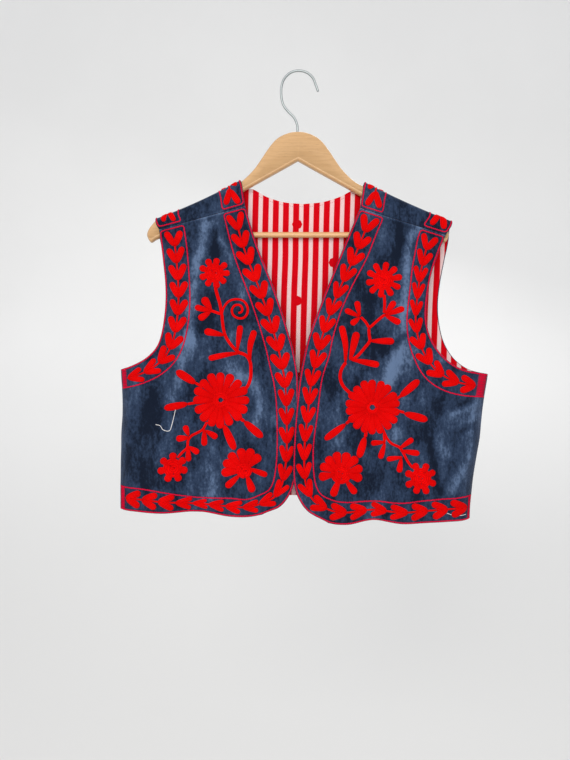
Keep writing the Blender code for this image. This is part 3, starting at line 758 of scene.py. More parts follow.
class Graph:
    """A node tree while it is being built."""

    def __init__(self, tree: NodeTree) -> None:
        """Keeps the tree."""
        self.tree = tree

    def feed(self, node: Node, inputs: dict) -> Node:
        """Gives a node's inputs their values, or links them to sockets.

        Args:
            node: The node.
            inputs: Value or socket for each input.

        Returns:
            The node.
        """
        for key, value in inputs.items():
            if isinstance(value, Socket):
                self.tree.links.new(value, node.inputs[key])
            else:
                node.inputs[key].default_value = value
        return node

    def node(self, kind: str, inputs: dict | None = None, **settings: object) -> Node:
        """Adds a node.

        Args:
            kind: The node's type.
            inputs: Values or sockets for its inputs.
            settings: Properties of the node.

        Returns:
            The node.
        """
        made = self.tree.nodes.new(kind)
        for key, value in settings.items():
            setattr(made, key, value)
        return self.feed(made, inputs or {})

    def place(self) -> Socket:
        """The object's own coordinates."""
        return self.node("ShaderNodeTexCoord").outputs["Object"]

    def group(self, tree: NodeTree, *inputs: object) -> Node:
        """A node of a shared group."""
        return self.node("ShaderNodeGroup", dict(enumerate(inputs)), node_tree=tree)

    def math(self, operation: str, first: object, second: object = 0.0, third: object = 0.0) -> Socket:
        """Output of a Math node."""
        return self.node("ShaderNodeMath", {0: first, 1: second, 2: third}, operation=operation).outputs[0]

    def step(self, value: object, low: float, high: float, start: float = 0.0, end: float = 1.0) -> Socket:
        """Smooth step of a value from one range to another."""
        limits = {"Value": value, "From Min": low, "From Max": high, "To Min": start, "To Max": end}
        return self.node("ShaderNodeMapRange", limits, interpolation_type="SMOOTHSTEP").outputs["Result"]

    def mix(self, factor: object, first: object, second: object) -> Socket:
        """Mix of two colours."""
        first, second = ((*color, 1.0) if isinstance(color, tuple) else color for color in (first, second))
        return self.node("ShaderNodeMix", {0: factor, 6: first, 7: second}, data_type="RGBA").outputs[2]

    def noise(self, vector: object, scale: float, detail: float = 3.0, roughness: float = 0.5) -> Socket:
        """Value of a Noise texture."""
        inputs = {"Vector": vector, "Scale": scale, "Detail": detail, "Roughness": roughness}
        return self.node("ShaderNodeTexNoise", inputs).outputs[0]

    def stretched(self, vector: Socket, *scale: float) -> Socket:
        """A vector scaled along each axis."""
        return self.node("ShaderNodeMapping", {"Vector": vector, "Scale": scale}).outputs[0]

    def bump(self, height: Socket, distance: float) -> Socket:
        """Normal of a Bump node, its distance in metres."""
        return self.node("ShaderNodeBump", {"Height": height, "Distance": distance}).outputs[0]


def new_group(name: str, inputs: dict[str, str], outputs: tuple[str, ...]) -> tuple:
    """Starts a shader node group.

    Args:
        name: Name of the group.
        inputs: Socket type of each input.
        outputs: Names of its value outputs.

    Returns:
        The group, its graph, its input node and its output node.
    """
    tree = bpy.data.node_groups.new(name, "ShaderNodeTree")
    for label, kind in inputs.items():
        tree.interface.new_socket(label, in_out="INPUT", socket_type=kind)
    for label in outputs:
        tree.interface.new_socket(label, in_out="OUTPUT", socket_type="NodeSocketFloat")
    graph = Graph(tree)
    return tree, graph, graph.node("NodeGroupInput"), graph.node("NodeGroupOutput")


def chain_stitch_group() -> NodeTree:
    """Rows of chain stitch over a UV map that counts stitches along and rows across.

    Across a row the height is 1 - a^2, where a is the distance from the row's middle in half rows. Along it, each
    link swells and its two strands slant back from the middle. A fuzz of fine noise lies over it. Shade is painted
    shade: 0 in the grooves and 1 on the tops of the stitches.

    Returns:
        The group.
    """
    tree, graph, start, end = new_group("chain_stitch", {"Vector": "NodeSocketVector"}, ("Height", "Shade"))
    along, across = graph.node("ShaderNodeSeparateXYZ", {0: start.outputs[0]}).outputs[:2]
    row = graph.math("ABSOLUTE", graph.math("SUBTRACT", graph.math("FRACT", across), 0.5))
    away = graph.math("MULTIPLY", row, 2.0)
    round_row = graph.math("SUBTRACT", 1.0, graph.math("POWER", away, 2.2))
    slant = graph.math("MULTIPLY_ADD", away, 0.55, along)
    link = graph.math("SINE", graph.math("MULTIPLY", graph.math("FRACT", slant), math.pi))
    swell = graph.math("MULTIPLY_ADD", link, 0.45, 0.55)
    height = graph.math("MULTIPLY", graph.math("MULTIPLY", round_row, swell), graph.step(away, 0.0, 0.3, 0.75, 1.0))
    fuzz = graph.noise(graph.place(), 1900.0, 2.0)
    graph.feed(end, {0: graph.math("MULTIPLY_ADD", fuzz, 0.35, height), 1: graph.step(height, 0.0, 0.65)})
    return tree


def weave_group() -> NodeTree:
    """Plain weave: warp and weft bulge by turns, as the product of two sines with fine slubs.

    Inputs are the object's coordinates and the threads in a metre.

    Returns:
        The group.
    """
    sockets = {"Vector": "NodeSocketVector", "Threads": "NodeSocketFloat"}
    tree, graph, start, end = new_group("plain_weave", sockets, ("Height", "Slub"))
    parts = graph.node("ShaderNodeSeparateXYZ", {0: start.outputs[0]}).outputs
    turn = graph.math("MULTIPLY", start.outputs[1], math.pi)
    warp = graph.math("SINE", graph.math("MULTIPLY", parts[0], turn))
    weft = graph.math("SINE", graph.math("MULTIPLY", parts[2], turn))
    bulge = graph.math("MULTIPLY_ADD", graph.math("MULTIPLY", warp, weft), 0.5, 0.5)
    graph.feed(end, {0: bulge, 1: graph.noise(graph.stretched(start.outputs[0], 900.0, 900.0, 60.0), 1.0)})
    return tree


def grain_group() -> NodeTree:
    """Wood grain along X: long warped bands, with short pores between them.

    Returns:
        The group.
    """
    tree, graph, start, end = new_group("wood_grain", {"Vector": "NodeSocketVector"}, ("Bands", "Pores"))
    slow = graph.noise(graph.stretched(start.outputs[0], 6.0, 40.0, 70.0), 1.0, 3.0, 0.55)
    bands = graph.math("FRACT", graph.math("MULTIPLY", slow, 7.0))
    soft = graph.math("MULTIPLY", graph.step(bands, 0.0, 0.75), graph.step(bands, 1.0, 0.8))
    pores = graph.noise(graph.stretched(start.outputs[0], 90.0, 1500.0, 1500.0), 1.0, 2.0)
    graph.feed(end, {0: soft, 1: graph.step(pores, 0.58, 0.72)})
    return tree


def mottle_group() -> NodeTree:
    """Uneven patches, brushed streaks that lie down the cloth, its grain, and the crush of its pile.

    Returns:
        The group.
    """
    names = ("Patches", "Streaks", "Grain", "Crush")
    tree, graph, start, end = new_group("mottle", {"Vector": "NodeSocketVector"}, names)
    place = start.outputs[0]
    patches = graph.noise(graph.stretched(place, 30.0, 30.0, 17.0), 1.0, 5.0, 0.62)
    streaks = graph.noise(graph.stretched(place, 150.0, 150.0, 34.0), 1.0, 4.0, 0.6)
    crush = graph.noise(graph.stretched(place, 330.0, 330.0, 210.0), 1.0, 3.0, 0.65)
    graph.feed(end, {0: patches, 1: streaks, 2: graph.noise(place, 1500.0, 2.0), 3: crush})
    return tree


@dataclass
class Effects:
    """The shared node groups."""

    chain_stitch: NodeTree = field(default_factory=chain_stitch_group)
    weave: NodeTree = field(default_factory=weave_group)
    grain: NodeTree = field(default_factory=grain_group)
    mottle: NodeTree = field(default_factory=mottle_group)


def new_material(name: str) -> tuple[Material, Graph, Node]:
    """Starts a material.

    Args:
        name: Name of the material.

    Returns:
        The material, its graph and its Principled shader.
    """
    material = bpy.data.materials.new(name)
    material.use_nodes = True
    return material, Graph(material.node_tree), material.node_tree.nodes["Principled BSDF"]


def dimmed(color: Color, share: float) -> Color:
    """A colour brought down to a share of its light."""
    return tuple(part * share for part in color)


@dataclass(frozen=True)
class VelvetFinish:
    """Crushed cotton velvet: the pile's lie with painted fold highlights and crease shade, and mottling, shift it
    between three blues.
    """

    dark: Color = (0.0026, 0.0060, 0.0155)
    mid: Color = (0.0165, 0.0300, 0.0620)
    light: Color = (0.084, 0.128, 0.215)
    sheen: Color = (0.60, 0.70, 0.95)
    # where the tone starts, and how far the pile's lie with its painted highlights and shade, the patches, the streaks
    # and the crush of the pile move it
    tone_start: float = -1.31
    nap_and_shading_share: float = 0.5
    patch_share: float = 1.8
    streak_share: float = 0.6
    crush_share: float = 0.9

    def material(self, effects: Effects) -> Material:
        """Makes the velvet's material.

        Args:
            effects: The shared node groups.

        Returns:
            The material.
        """
        material, graph, shader = new_material("blue_velvet")
        patches, streaks, grain, crush = graph.group(effects.mottle, graph.place()).outputs
        # the attribute brings the lie of the pile, painted highlights on fold ridges and painted shade in creases into
        # the tone
        nap_and_shading = graph.node("ShaderNodeAttribute", attribute_name="nap_and_shading").outputs["Fac"]
        tone = graph.math("MULTIPLY_ADD", nap_and_shading, self.nap_and_shading_share, self.tone_start)
        for part, share in ((patches, self.patch_share), (streaks, self.streak_share), (crush, self.crush_share)):
            tone = graph.math("MULTIPLY_ADD", part, share, tone)
        low = graph.mix(graph.step(tone, 0.0, 0.5), self.dark, self.mid)
        height = graph.math("MULTIPLY_ADD", streaks, 2.6, grain)
        inputs = {
            "Base Color": graph.mix(graph.step(tone, 0.42, 1.05), low, self.light),
            "Roughness": graph.step(tone, 0.0, 1.0, 0.95, 0.72),
            "Specular IOR Level": 0.12,
            "Sheen Weight": 0.2,
            "Sheen Roughness": 0.42,
            "Sheen Tint": (*self.sheen, 1.0),
            "Normal": graph.bump(height, 0.00035),
        }
        graph.feed(shader, inputs)
        return material


@dataclass(frozen=True)
class LiningFinish:
    """Striped cotton with a small round flower printed in a half-drop repeat."""

    red: Color = (0.50, 0.0, 0.004)
    white: Color = (0.64, 0.445, 0.43)
    pitch: float = 0.0149
    red_share: float = 0.60
    red_x: float = -0.0021
    lean: float = 0.026
    lean_z: float = -0.1975
    print_x: float = -0.0010
    print_z: float = -0.2200
    print_columns: float = 0.0535
    print_drop: float = 0.1120
    print_radius: float = 0.0072

    def material(self, effects: Effects) -> Material:
        """Makes the lining's material: stripes by the fraction of x over the pitch, flowers by distance.

        Args:
            effects: The shared node groups.

        Returns:
            The material.
        """
        material, graph, shader = new_material("striped_cotton")
        place = graph.place()
        woven, slub = graph.group(effects.weave, place, 1700.0).outputs
        side, _, up = graph.node("ShaderNodeSeparateXYZ", {0: place}).outputs
        wander = graph.math("MULTIPLY_ADD", graph.noise(place, 9.0, 1.0), 0.003, -0.0015)
        x = graph.math("ADD", side, wander)
        leaned = graph.math("MULTIPLY_ADD", graph.math("SUBTRACT", up, self.lean_z), -self.lean, x)
        count = graph.math("DIVIDE", graph.math("SUBTRACT", leaned, self.red_x), self.pitch)
        off = graph.math("ABSOLUTE", graph.math("SUBTRACT", count, graph.math("ROUND", count)))
        stripe = graph.step(off, self.red_share / 2 - 0.03, self.red_share / 2 + 0.03, 1.0, 0.0)
        over = graph.math("DIVIDE", graph.math("SUBTRACT", x, self.print_x), self.print_columns)
        line = graph.math("ROUND", over)
        across = graph.math("MULTIPLY", graph.math("SUBTRACT", over, line), self.print_columns)
        drop = graph.math("MULTIPLY", graph.math("ABSOLUTE", graph.math("MODULO", line, 2.0)), 0.5)
        down = graph.math("DIVIDE", graph.math("SUBTRACT", up, self.print_z), self.print_drop)
        down = graph.math("SUBTRACT", down, drop)
        along = graph.math("MULTIPLY", graph.math("SUBTRACT", down, graph.math("ROUND", down)), self.print_drop)
        petals = graph.math("COSINE", graph.math("MULTIPLY", graph.math("ARCTAN2", along, across), 8.0))
        reach = graph.math("MULTIPLY_ADD", petals, self.print_radius * 0.035, self.print_radius)
        far = graph.math("SQRT", graph.math("MULTIPLY_ADD", across, across, graph.math("POWER", along, 2.0)))
        flower = graph.step(graph.math("SUBTRACT", far, reach), -0.0003, 0.0003, 1.0, 0.0)
        fade = graph.step(slub, 0.3, 0.7)
        red = graph.mix(fade, dimmed(self.red, 0.86), self.red)
        white = graph.mix(fade, dimmed(self.white, 0.92), self.white)
        inputs = {
            "Base Color": graph.mix(graph.math("MAXIMUM", stripe, flower), white, red),
            "Roughness": graph.step(fade, 0.0, 1.0, 0.9, 0.8),
            "Specular IOR Level": 0.05,
            "Normal": graph.bump(graph.math("MULTIPLY_ADD", slub, 0.8, woven), 0.00008),
        }
        graph.feed(shader, inputs)
        return material


@dataclass(frozen=True)
class ThreadFinish:
    """Thread worked in chain stitch."""

    name: str
    # colour of the painted shade in the grooves between rows and links; bright is the thread's own colour
    groove_shade: Color
    bright: Color
    relief: float = 0.0004
    sheen: float = 0.02

    def material(self, effects: Effects) -> Material:
        """Makes the thread's material: the stitch group shades the grooves and gives the height.

        Args:
            effects: The shared node groups.

        Returns:
            The material.
        """
        material, graph, shader = new_material(self.name)
        uv = graph.node("ShaderNodeUVMap", uv_map="UVMap").outputs[0]
        height, shade = graph.group(effects.chain_stitch, uv).outputs
        worn = graph.step(graph.noise(graph.place(), 55.0), 0.35, 0.7)
        bright = graph.mix(worn, dimmed(self.bright, 0.86), self.bright)
        inputs = {
            # painted shade: the groove colour fills the grooves, the thread's own colour lies on the tops
            "Base Color": graph.mix(shade, self.groove_shade, bright),
            "Roughness": graph.step(worn, 0.0, 1.0, 0.82, 0.72),
            "Specular IOR Level": 0.05,
            "Sheen Weight": self.sheen,
            "Sheen Tint": (*self.bright, 1.0),
            "Normal": graph.bump(height, self.relief),
        }
        graph.feed(shader, inputs)
        return material


@dataclass(frozen=True)
class WoodFinish:
    """Lacquered beech."""

    name: str
    pale: Color
    brown: Color
    roughness: float

    def material(self, effects: Effects) -> Material:
        """Makes the wood's material.

        Args:
            effects: The shared node groups.

        Returns:
            The material.
        """
        material, graph, shader = new_material(self.name)
        bands, pores = graph.group(effects.grain, graph.place()).outputs
        wood = graph.mix(graph.math("MULTIPLY", bands, 0.5), self.pale, self.brown)
        inputs = {
            "Base Color": graph.mix(graph.math("MULTIPLY", pores, 0.35), wood, dimmed(self.brown, 0.5)),
            "Roughness": graph.step(pores, 0.0, 1.0, self.roughness, self.roughness + 0.15),
            "Coat Weight": 0.4,
            "Coat Roughness": 0.25,
            "Normal": graph.bump(graph.math("MULTIPLY_ADD", pores, -0.6, bands), 0.00006),
        }
        graph.feed(shader, inputs)
        return material


@dataclass(frozen=True)
class SteelFinish:
    """Zinc-plated wire, dulled in patches."""

    color: Color = (0.36, 0.385, 0.38)

    def material(self) -> Material:
        """Makes the wire's material.

        Returns:
            The material.
        """
        material, graph, shader = new_material("steel_wire")
        spots = graph.noise(graph.place(), 45.0, 2.0)
        inputs = {
            "Base Color": graph.mix(graph.step(spots, 0.35, 0.75), self.color, dimmed(self.color, 0.86)),
            "Roughness": graph.step(spots, 0.3, 0.7, 0.48, 0.54),
            "Metallic": 1.0,
        }
        graph.feed(shader, inputs)
        return material


@dataclass
class Finishes:
    """Every material of the vest and its hanger."""

    effects: Effects = field(default_factory=Effects)

    def __post_init__(self) -> None:
        """Makes the materials."""
        self.velvet = VelvetFinish().material(self.effects)
        self.lining = LiningFinish().material(self.effects)
        # the first colour of each thread is the painted shade of the grooves between its stitches
        wool = ThreadFinish("red_wool", (0.28, 0.0, 0.0), (0.71, 0.0, 0.0))
        edging = ThreadFinish("crimson_thread", (0.17, 0.0, 0.012), (0.58, 0.003, 0.032), 0.0003)
        cotton = ThreadFinish("cotton_thread", (0.42, 0.38, 0.36), (0.75, 0.72, 0.70), 0.0001)
        self.threads = [thread.material(self.effects) for thread in (wool, edging, cotton)]
        self.beech = WoodFinish("beech", (0.51, 0.30, 0.132), (0.42, 0.235, 0.095), 0.32).material(self.effects)
        bar = WoodFinish("pale_beech", (0.58, 0.315, 0.13), (0.49, 0.245, 0.095), 0.45)
        self.pale_beech = bar.material(self.effects)
        self.steel = SteelFinish().material()


# ---- velvet and lining


def pile_and_fold_shading_at(rows: Rows, x: Array, z: Array) -> Array:
    """Streaks where the pile lies another way, with painted highlights on the ridges of folds and painted shade in
    creases: the sum of bells across the nearest piece of each one's line.

    Args:
        rows: Width and amount of each streak, then x and z of the points of its line.
        x: Places over the panel.
        z: Places over the panel.

    Returns:
        How the pile lies, with the painted highlights and shade: above 0 it is lighter, below 0 darker.
    """
    total = np.zeros(np.shape(x))
    for width, amount, *line in rows:
        points = np.reshape(line, (-1, 2))
        nearest = np.min([off_line(x, z, *first, *last)[1] for first, last in zip(points, points[1:])], axis=0)
        total += amount * np.exp(-nearest / width**2)
    return total


def row_stations(inner: Array, outer: Array, step: float, lips: Row) -> Array:
    """Where the rows of a grid lie, as stations of its two outlines.

    Args:
        inner: Points of the inner outline.
        outer: Points of the outer outline.
        step: Distance between rows.
        lips: Distances of the extra rows that round the first and last edge.

    Returns:
        The stations, rising from 0.
    """
    runs = np.maximum(steps_of(inner), steps_of(outer))
    steps = np.maximum(1, np.round(runs / step)).astype(int)
    core = np.concatenate([i + np.arange(count) / count for i, count in enumerate(steps)])
    first = np.array(lips) / runs[0]
    last = len(runs) - np.array(lips)[::-1] / runs[-1]
    core = core[(core > first[-1] * 1.5) & (core < last[0] - first[-1] * 0.5)]
    return np.concatenate([[0.0], first, core, last, [float(len(runs))]])


def lip_height(distance: Array, wall: float) -> Array:
    """Half the wall, rounded to nothing at an edge as a quarter circle."""
    return wall / 2 * quarter_circle(distance / (wall / 2))


@dataclass
class ClothGrid:
    """Grid over a panel's cut: places, and the half thickness of the cloth at each."""

    x: Array
    z: Array
    half: Array

    @staticmethod
    def between(inner: Array, outer: Array, step: float, wall: float, lips: Row) -> "ClothGrid":
        """Grid of straight rows from an inner outline to an outer one, closer at the edges.

        Args:
            inner: Inner end of each row.
            outer: Outer end of each row.
            step: Distance between columns at the widest row.
            wall: Thickness of the cloth.
            lips: Distances of the columns that round the edges.

        Returns:
            The grid.
        """
        span = np.linalg.norm(outer - inner, axis=1)[:, None]
        count = int(round(span.max() / step))
        near = np.array([0.0, *lips])[None, :] / span
        core = near[:, -1:] + (1.0 - 2.0 * near[:, -1:]) * np.linspace(0.0, 1.0, count)[None, 1:-1]
        share = np.concatenate([near, core, 1.0 - near[:, ::-1]], axis=1)
        made = inner[:, None, :] + (outer - inner)[:, None, :] * share[..., None]
        half = lip_height(np.minimum(share, 1.0 - share) * span, wall)
        return ClothGrid(made[..., 0], made[..., 1], half)

    def round_ends(self, lips: Row, wall: float) -> None:
        """Thins the cloth to nothing over its first and last rows.

        Args:
            lips: Distances of those rows from the edge.
            wall: Thickness of the cloth.
        """
        ends = lip_height(np.array([0.0, *lips]), wall)[:, None]
        count = len(ends)
        self.half[:count] = np.minimum(self.half[:count], ends)
        self.half[-count:] = np.minimum(self.half[-count:], ends[::-1])

    def area(self) -> float:
        """Area of the grid laid flat.

        Returns:
            Half the cross product of each cell's diagonals, summed.
        """
        x, z = self.x, self.z
        first = (x[1:, 1:] - x[:-1, :-1]) * (z[1:, :-1] - z[:-1, 1:])
        second = (z[1:, 1:] - z[:-1, :-1]) * (x[1:, :-1] - x[:-1, 1:])
        return float(np.abs(first - second).sum() / 2)


@dataclass
class Shell:
    """A closed shell of cloth: an outer and an inner grid for each part, which share the points of their edge."""

    points: list[Array] = field(default_factory=list)
    faces: list[Array] = field(default_factory=list)
    places: list[Array] = field(default_factory=list)
    centre: list[Array] = field(default_factory=list)
    total: int = 0

    def add(self, surface: Surface, grid: ClothGrid, middle: Array, flip: bool, joint: Array) -> None:
        """Adds a part, whose first column is shared with the next part where the two are joined.

        Args:
            surface: The surface that it lies on.
            grid: Its grid.
            middle: Offset of the middle of the cloth.
            flip: Whether its outer faces turn the other way.
            joint: How far each row lies past the start of the joint, below 0 where the column is an open edge.
        """
        edge = np.ones(grid.x.shape, bool)
        edge[1:-1, 1:-1] = False
        edge[:-1, 0] = joint[:-1] <= 0
        column = np.zeros(grid.x.shape, bool)
        column[:, 0] = joint >= 0
        sheets: list[Array] = []
        for turn in (1.0, -1.0):
            index = np.where(edge, sheets[0], -1) if sheets else np.full(grid.x.shape, -1)
            if self.centre:
                index[column] = self.centre[len(sheets)]
            fresh = index < 0
            index[fresh] = self.total + np.arange(fresh.sum())
            self.total += int(fresh.sum())
            self.points.append(surface.lifted(grid.x, grid.z, middle + turn * grid.half)[fresh])
            self.places.append(np.stack([grid.x, grid.z], axis=-1)[fresh])
            self.faces.append(grid_faces(index, flip if turn > 0 else not flip))
            sheets.append(index)
        self.centre = self.centre or [index[column] for index in sheets]

    def finish(
        self,
        name: str,
        slot: str,
        node: str,
        materials: list[Material],
        pile_and_fold_shading: Rows,
        slots: list[Array] | None = None,
    ) -> Piece:
        """Makes the piece, its UV map the places of its points.

        Args:
            name: Name of the piece.
            slot: Its colour slot.
            node: The node that it takes the place of.
            materials: Its materials.
            pile_and_fold_shading: Streaks of its pile, with painted highlights on fold ridges and painted shade in
                creases.
            slots: The material slot of each face.

        Returns:
            The piece.
        """
        place = np.concatenate(self.places)
        # the lie of the pile at each point, with painted highlights on fold ridges and painted shade in creases
        nap_and_shading = pile_and_fold_shading_at(pile_and_fold_shading, place[:, 0], place[:, 1])
        return put_mesh(name, np.concatenate(self.points), self.faces, materials, slot, node, slots, place * MM, nap_and_shading)


@dataclass
class Front:
    """One velvet front with its lined inner face."""

    panel: Panel
    rows: Rows
    pile_and_fold_shading: Rows
    form: VestForm
    underarm: int = 8
    step: float = 2.1
    lips: Row = (0.12, 0.45, 1.0)
    # how far the edges that the bands follow are rounded
    edge_blur: float = 9.0
    armhole_blur: float = 5.0

    def __post_init__(self) -> None:
        """Works out the front's grid."""
        self.side = Side.LEFT if self.panel is Panel.RIGHT_FRONT else Side.RIGHT
        self.surface = FrontSurface(self.form, self.panel)
        rows = np.array(self.rows, float)
        inner, outer = rows[:, :2], rows[:, 2:]
        seam = np.arange(len(rows)) >= self.underarm
        outer[seam, 0] = self.form.side_x(outer[seam, 1], self.side)
        u = row_stations(inner, outer, self.step, self.lips)
        inner = curve_through(inner, (), u)
        outer = curve_through(outer, (self.underarm,), u)
        self.below = u >= self.underarm
        outer[self.below, 0] = self.form.side_x(outer[self.below, 1], self.side)
        self.grid = ClothGrid.between(inner, outer, self.step, self.form.velvet, self.lips)
        self.grid.z += self.form.hem_rise(self.grid.x, self.grid.z, self.form.front_hem)
        self.grid.round_ends(self.lips, self.form.velvet)

    def edge_track(self) -> Track:
        """The free edge: from the side seam along the hem, round the corner and up to the shoulder."""
        x, z = (np.r_[part[-1, ::-1], part[-2::-1, 0]] for part in (self.grid.x, self.grid.z))
        return Track.over(x, z, self.edge_blur)

    def armhole_track(self) -> Track:
        """The armhole: from the side seam up to the shoulder."""
        x, z = (part[~self.below, -1][::-1] for part in (self.grid.x, self.grid.z))
        return Track.over(x, z, self.armhole_blur)

    def build(self, finishes: Finishes) -> Piece:
        """Makes the front: velvet outside and round the edges, the lining's cotton inside.

        Args:
            finishes: The materials.

        Returns:
            The front.
        """
        shell = Shell()
        open_edge = np.full(len(self.below), -1)
        shell.add(self.surface, self.grid, self.form.front_middle, self.side is Side.RIGHT, open_edge)
        lip = len(self.lips)
        lined = np.zeros(tuple(count - 1 for count in self.grid.x.shape), int)
        lined[lip:-lip, lip:-lip] = 1
        slots = [np.zeros(lined.size, int), lined.ravel()]
        materials = [finishes.velvet, finishes.lining]
        name = self.panel.value
        return shell.finish(name + "_velvet", "velvet", name, materials, self.pile_and_fold_shading, slots)


@dataclass
class Back:
    """The velvet back with its yokes, and the lining inside it."""

    form: VestForm
    rows: dict[Side, Rows]
    pile_and_fold_shading: Rows
    neck_row: int = 7
    underarm: int = 12
    step: float = 3.0
    arc_steps: int = 9
    yoke_steps: int = 15
    lining_insets: tuple[float, float] = (1.6, 3.0)
    seam_radius: float = 1.9
    seam_inset: float = 0.2
    seam_y: float = 0.8
    seam_rings: int = 90
    # how far the edges that the bands follow are rounded, and the row at the top of the fold
    edge_blur: float = 5.0
    yoke_blur: float = 3.0
    fold_row: float = 2.0
    lining_start: float = 2.66
    lips: Row = (0.12, 0.45, 1.0)

    def __post_init__(self) -> None:
        """Works out a grid for each half; from the neck down the two share their rows."""
        self.surfaces = {side: BackSurface(self.form, side) for side in Side}
        self.velvet = {side: self.half_grid(side, self.form.velvet, False) for side in Side}

    def outlines(self, side: Side) -> tuple[Array, Array]:
        """Inner and outer points of a half back's rows, with the first three set by the fold.

        Args:
            side: Which half.

        Returns:
            The two outlines, as x and laid z.
        """
        form = self.form
        rows = np.array(self.rows[side], float)
        inner, outer = rows[:, :2], rows[:, 2:]
        seam = np.arange(len(rows)) >= self.underarm
        outer[seam, 0] = form.side_x(outer[seam, 1], side)
        for line in (inner, outer):
            line[0, 1] = form.unfolded(line[0, 0], line[0, 1], side)
            tangent = form.crest_z(line[1:4, 0], side) - form.wrap_radius
            line[1:4, 1] = tangent + np.array([math.pi, math.pi / 2, 0.0]) * form.wrap_radius
        return inner, outer

    def half_grid(self, side: Side, wall: float, lining: bool) -> ClothGrid:
        """Grid of a half back, its yoke rows parallel to the front seam and its arc rows to the fold.

        Args:
            side: Which half.
            wall: Thickness of the cloth.
            lining: Whether the grid starts behind the fold, as the lining does.

        Returns:
            The grid.
        """
        form = self.form
        lines = [line for each in Side for line in self.outlines(each)]
        longest = np.max([steps_of(lines[i]) for i in (0, 1, 3)], axis=0)
        steps = np.maximum(1, np.round(longest / self.step)).astype(int)
        steps[:3] = (self.yoke_steps, self.arc_steps, self.arc_steps)
        core = np.concatenate([i + np.arange(count) / count for i, count in enumerate(steps)])
        last = len(steps) - np.array(self.lips)[::-1] / longest[-1]
        first = np.array(self.lips) / longest[0]
        u = np.concatenate([[0.0], first, core[1:][core[1:] < last[0]], last, [float(len(steps))]])
        self.stations = u
        inner, outer = self.outlines(side)
        inner = curve_through(inner, (self.neck_row,), u)
        outer = curve_through(outer, (self.underarm,), u)
        below = u >= self.underarm
        outer[below, 0] = form.side_x(outer[below, 1], side)
        if lining:
            outer[:, 0] += np.where(below, self.lining_insets[1], self.lining_insets[0]) * side.hand
            start = int(np.searchsorted(u, self.lining_start))
            u, inner, outer = u[start:], inner[start:], outer[start:]
        grid = ClothGrid.between(inner, outer, self.step, wall, self.lips)
        x = grid.x
        neck_x, neck_z, point_x, point_z = self.rows[side][0]
        seam_z = neck_z + (x - neck_x) * (point_z - neck_z) / (point_x - neck_x)
        tangent = form.crest_z(x, side) - form.wrap_radius
        share = u[:, None]
        yoke = form.unfolded(x, seam_z + (tangent - seam_z) * share, side)
        arc = tangent + (3.0 - share) / 2.0 * math.pi * form.wrap_radius
        plain = grid.z + form.hem_rise(x, grid.z, form.back_hem)
        grid.z = np.where(share <= 1.0, yoke, np.where(share <= 3.0, arc, plain))
        grid.round_ends(self.lips, wall)
        joined = u >= self.neck_row
        full = len(self.lips) + 1
        inside = lip_height(np.minimum((u[joined] - self.neck_row) * longest[self.neck_row], wall), wall)
        grid.half[joined, :full] = np.minimum(inside[:, None], grid.half[joined, full][:, None])
        return grid

    def build(self, finishes: Finishes) -> list[Piece]:
        """Makes the velvet back and its lining, each of two halves that share their centre line below the neck.

        Args:
            finishes: The materials.

        Returns:
            The two pieces.
        """
        velvet, lining = Shell(), Shell()
        self.lining = {side: self.half_grid(side, self.form.lining, True) for side in Side}
        for side, surface in self.surfaces.items():
            joint = self.stations - self.neck_row
            grid, flip = self.velvet[side], side is Side.LEFT
            velvet.add(surface, grid, surface.middle(grid.x, grid.z), flip, joint)
            grid = self.lining[side]
            lining.add(surface, grid, self.form.lining_middle, flip, joint[-len(grid.x) :])
        return [
            velvet.finish("back_velvet", "velvet", "back", [finishes.velvet], self.pile_and_fold_shading),
            lining.finish("back_striped_lining", "striped_lining", "back_lining", [finishes.lining], self.pile_and_fold_shading),
        ]

    def side_seam(self, side: Side, finishes: Finishes) -> Piece:
        """Rolls the velvet's turned edge between a front and the back, from the underarm to the hem.

        Args:
            side: Which seam.
            finishes: The materials.

        Returns:
            The seam.
        """
        rows, count = self.rows[side], self.seam_rings
        z = np.linspace(rows[self.underarm][3] + 1.0, rows[-1][3] + 1.0, count)
        centre = np.stack([self.form.side_x(z, side) + self.seam_inset * side.hand, z], axis=-1)
        radius = self.seam_radius * quarter_circle(np.minimum(np.arange(count), np.arange(count)[::-1]) / 2.0)
        points, faces = tube(centre, radius, 12, self.seam_y)
        name = side.value + "_side_seam"
        return put_mesh(name, points, faces, [finishes.velvet], "velvet", nap_and_shading=np.zeros(len(points)))

    def edge_track(self, side: Side, column: int, last_row: float) -> Track:
        """An edge of one half, up to the top of the shoulder's fold.

        Args:
            side: Which half.
            column: 0 for the neckline, -1 for the armhole.
            last_row: The row that the edge starts from.

        Returns:
            The edge from that row upwards.
        """
        grid = self.velvet[side]
        rows = (self.stations <= last_row) & (self.stations >= self.fold_row)
        return Track.over(grid.x[rows, column][::-1], grid.z[rows, column][::-1], self.edge_blur)

    def yoke_track(self, side: Side, column: int) -> Track:
        """An edge of a yoke as it is seen from the front.

        Args:
            side: Which yoke.
            column: 0 for the neckline, -1 for the armhole.

        Returns:
            The edge from the top of the fold down to the seam.
        """
        grid = self.velvet[side]
        rows = self.stations <= self.fold_row
        x = grid.x[rows, column][::-1]
        return Track.over(x, self.form.unfolded(x, grid.z[rows, column][::-1], side), self.yoke_blur)

    def hem_track(self) -> Track:
        """The hem of both halves.

        Returns:
            The line from the viewer's left to the right.
        """
        left, right = self.velvet[Side.LEFT], self.velvet[Side.RIGHT]
        x = np.r_[left.x[-1, ::-1], right.x[-1, 1:]]
        return Track.over(x, np.r_[left.z[-1, ::-1], right.z[-1, 1:]], self.edge_blur)


# ---- needlework


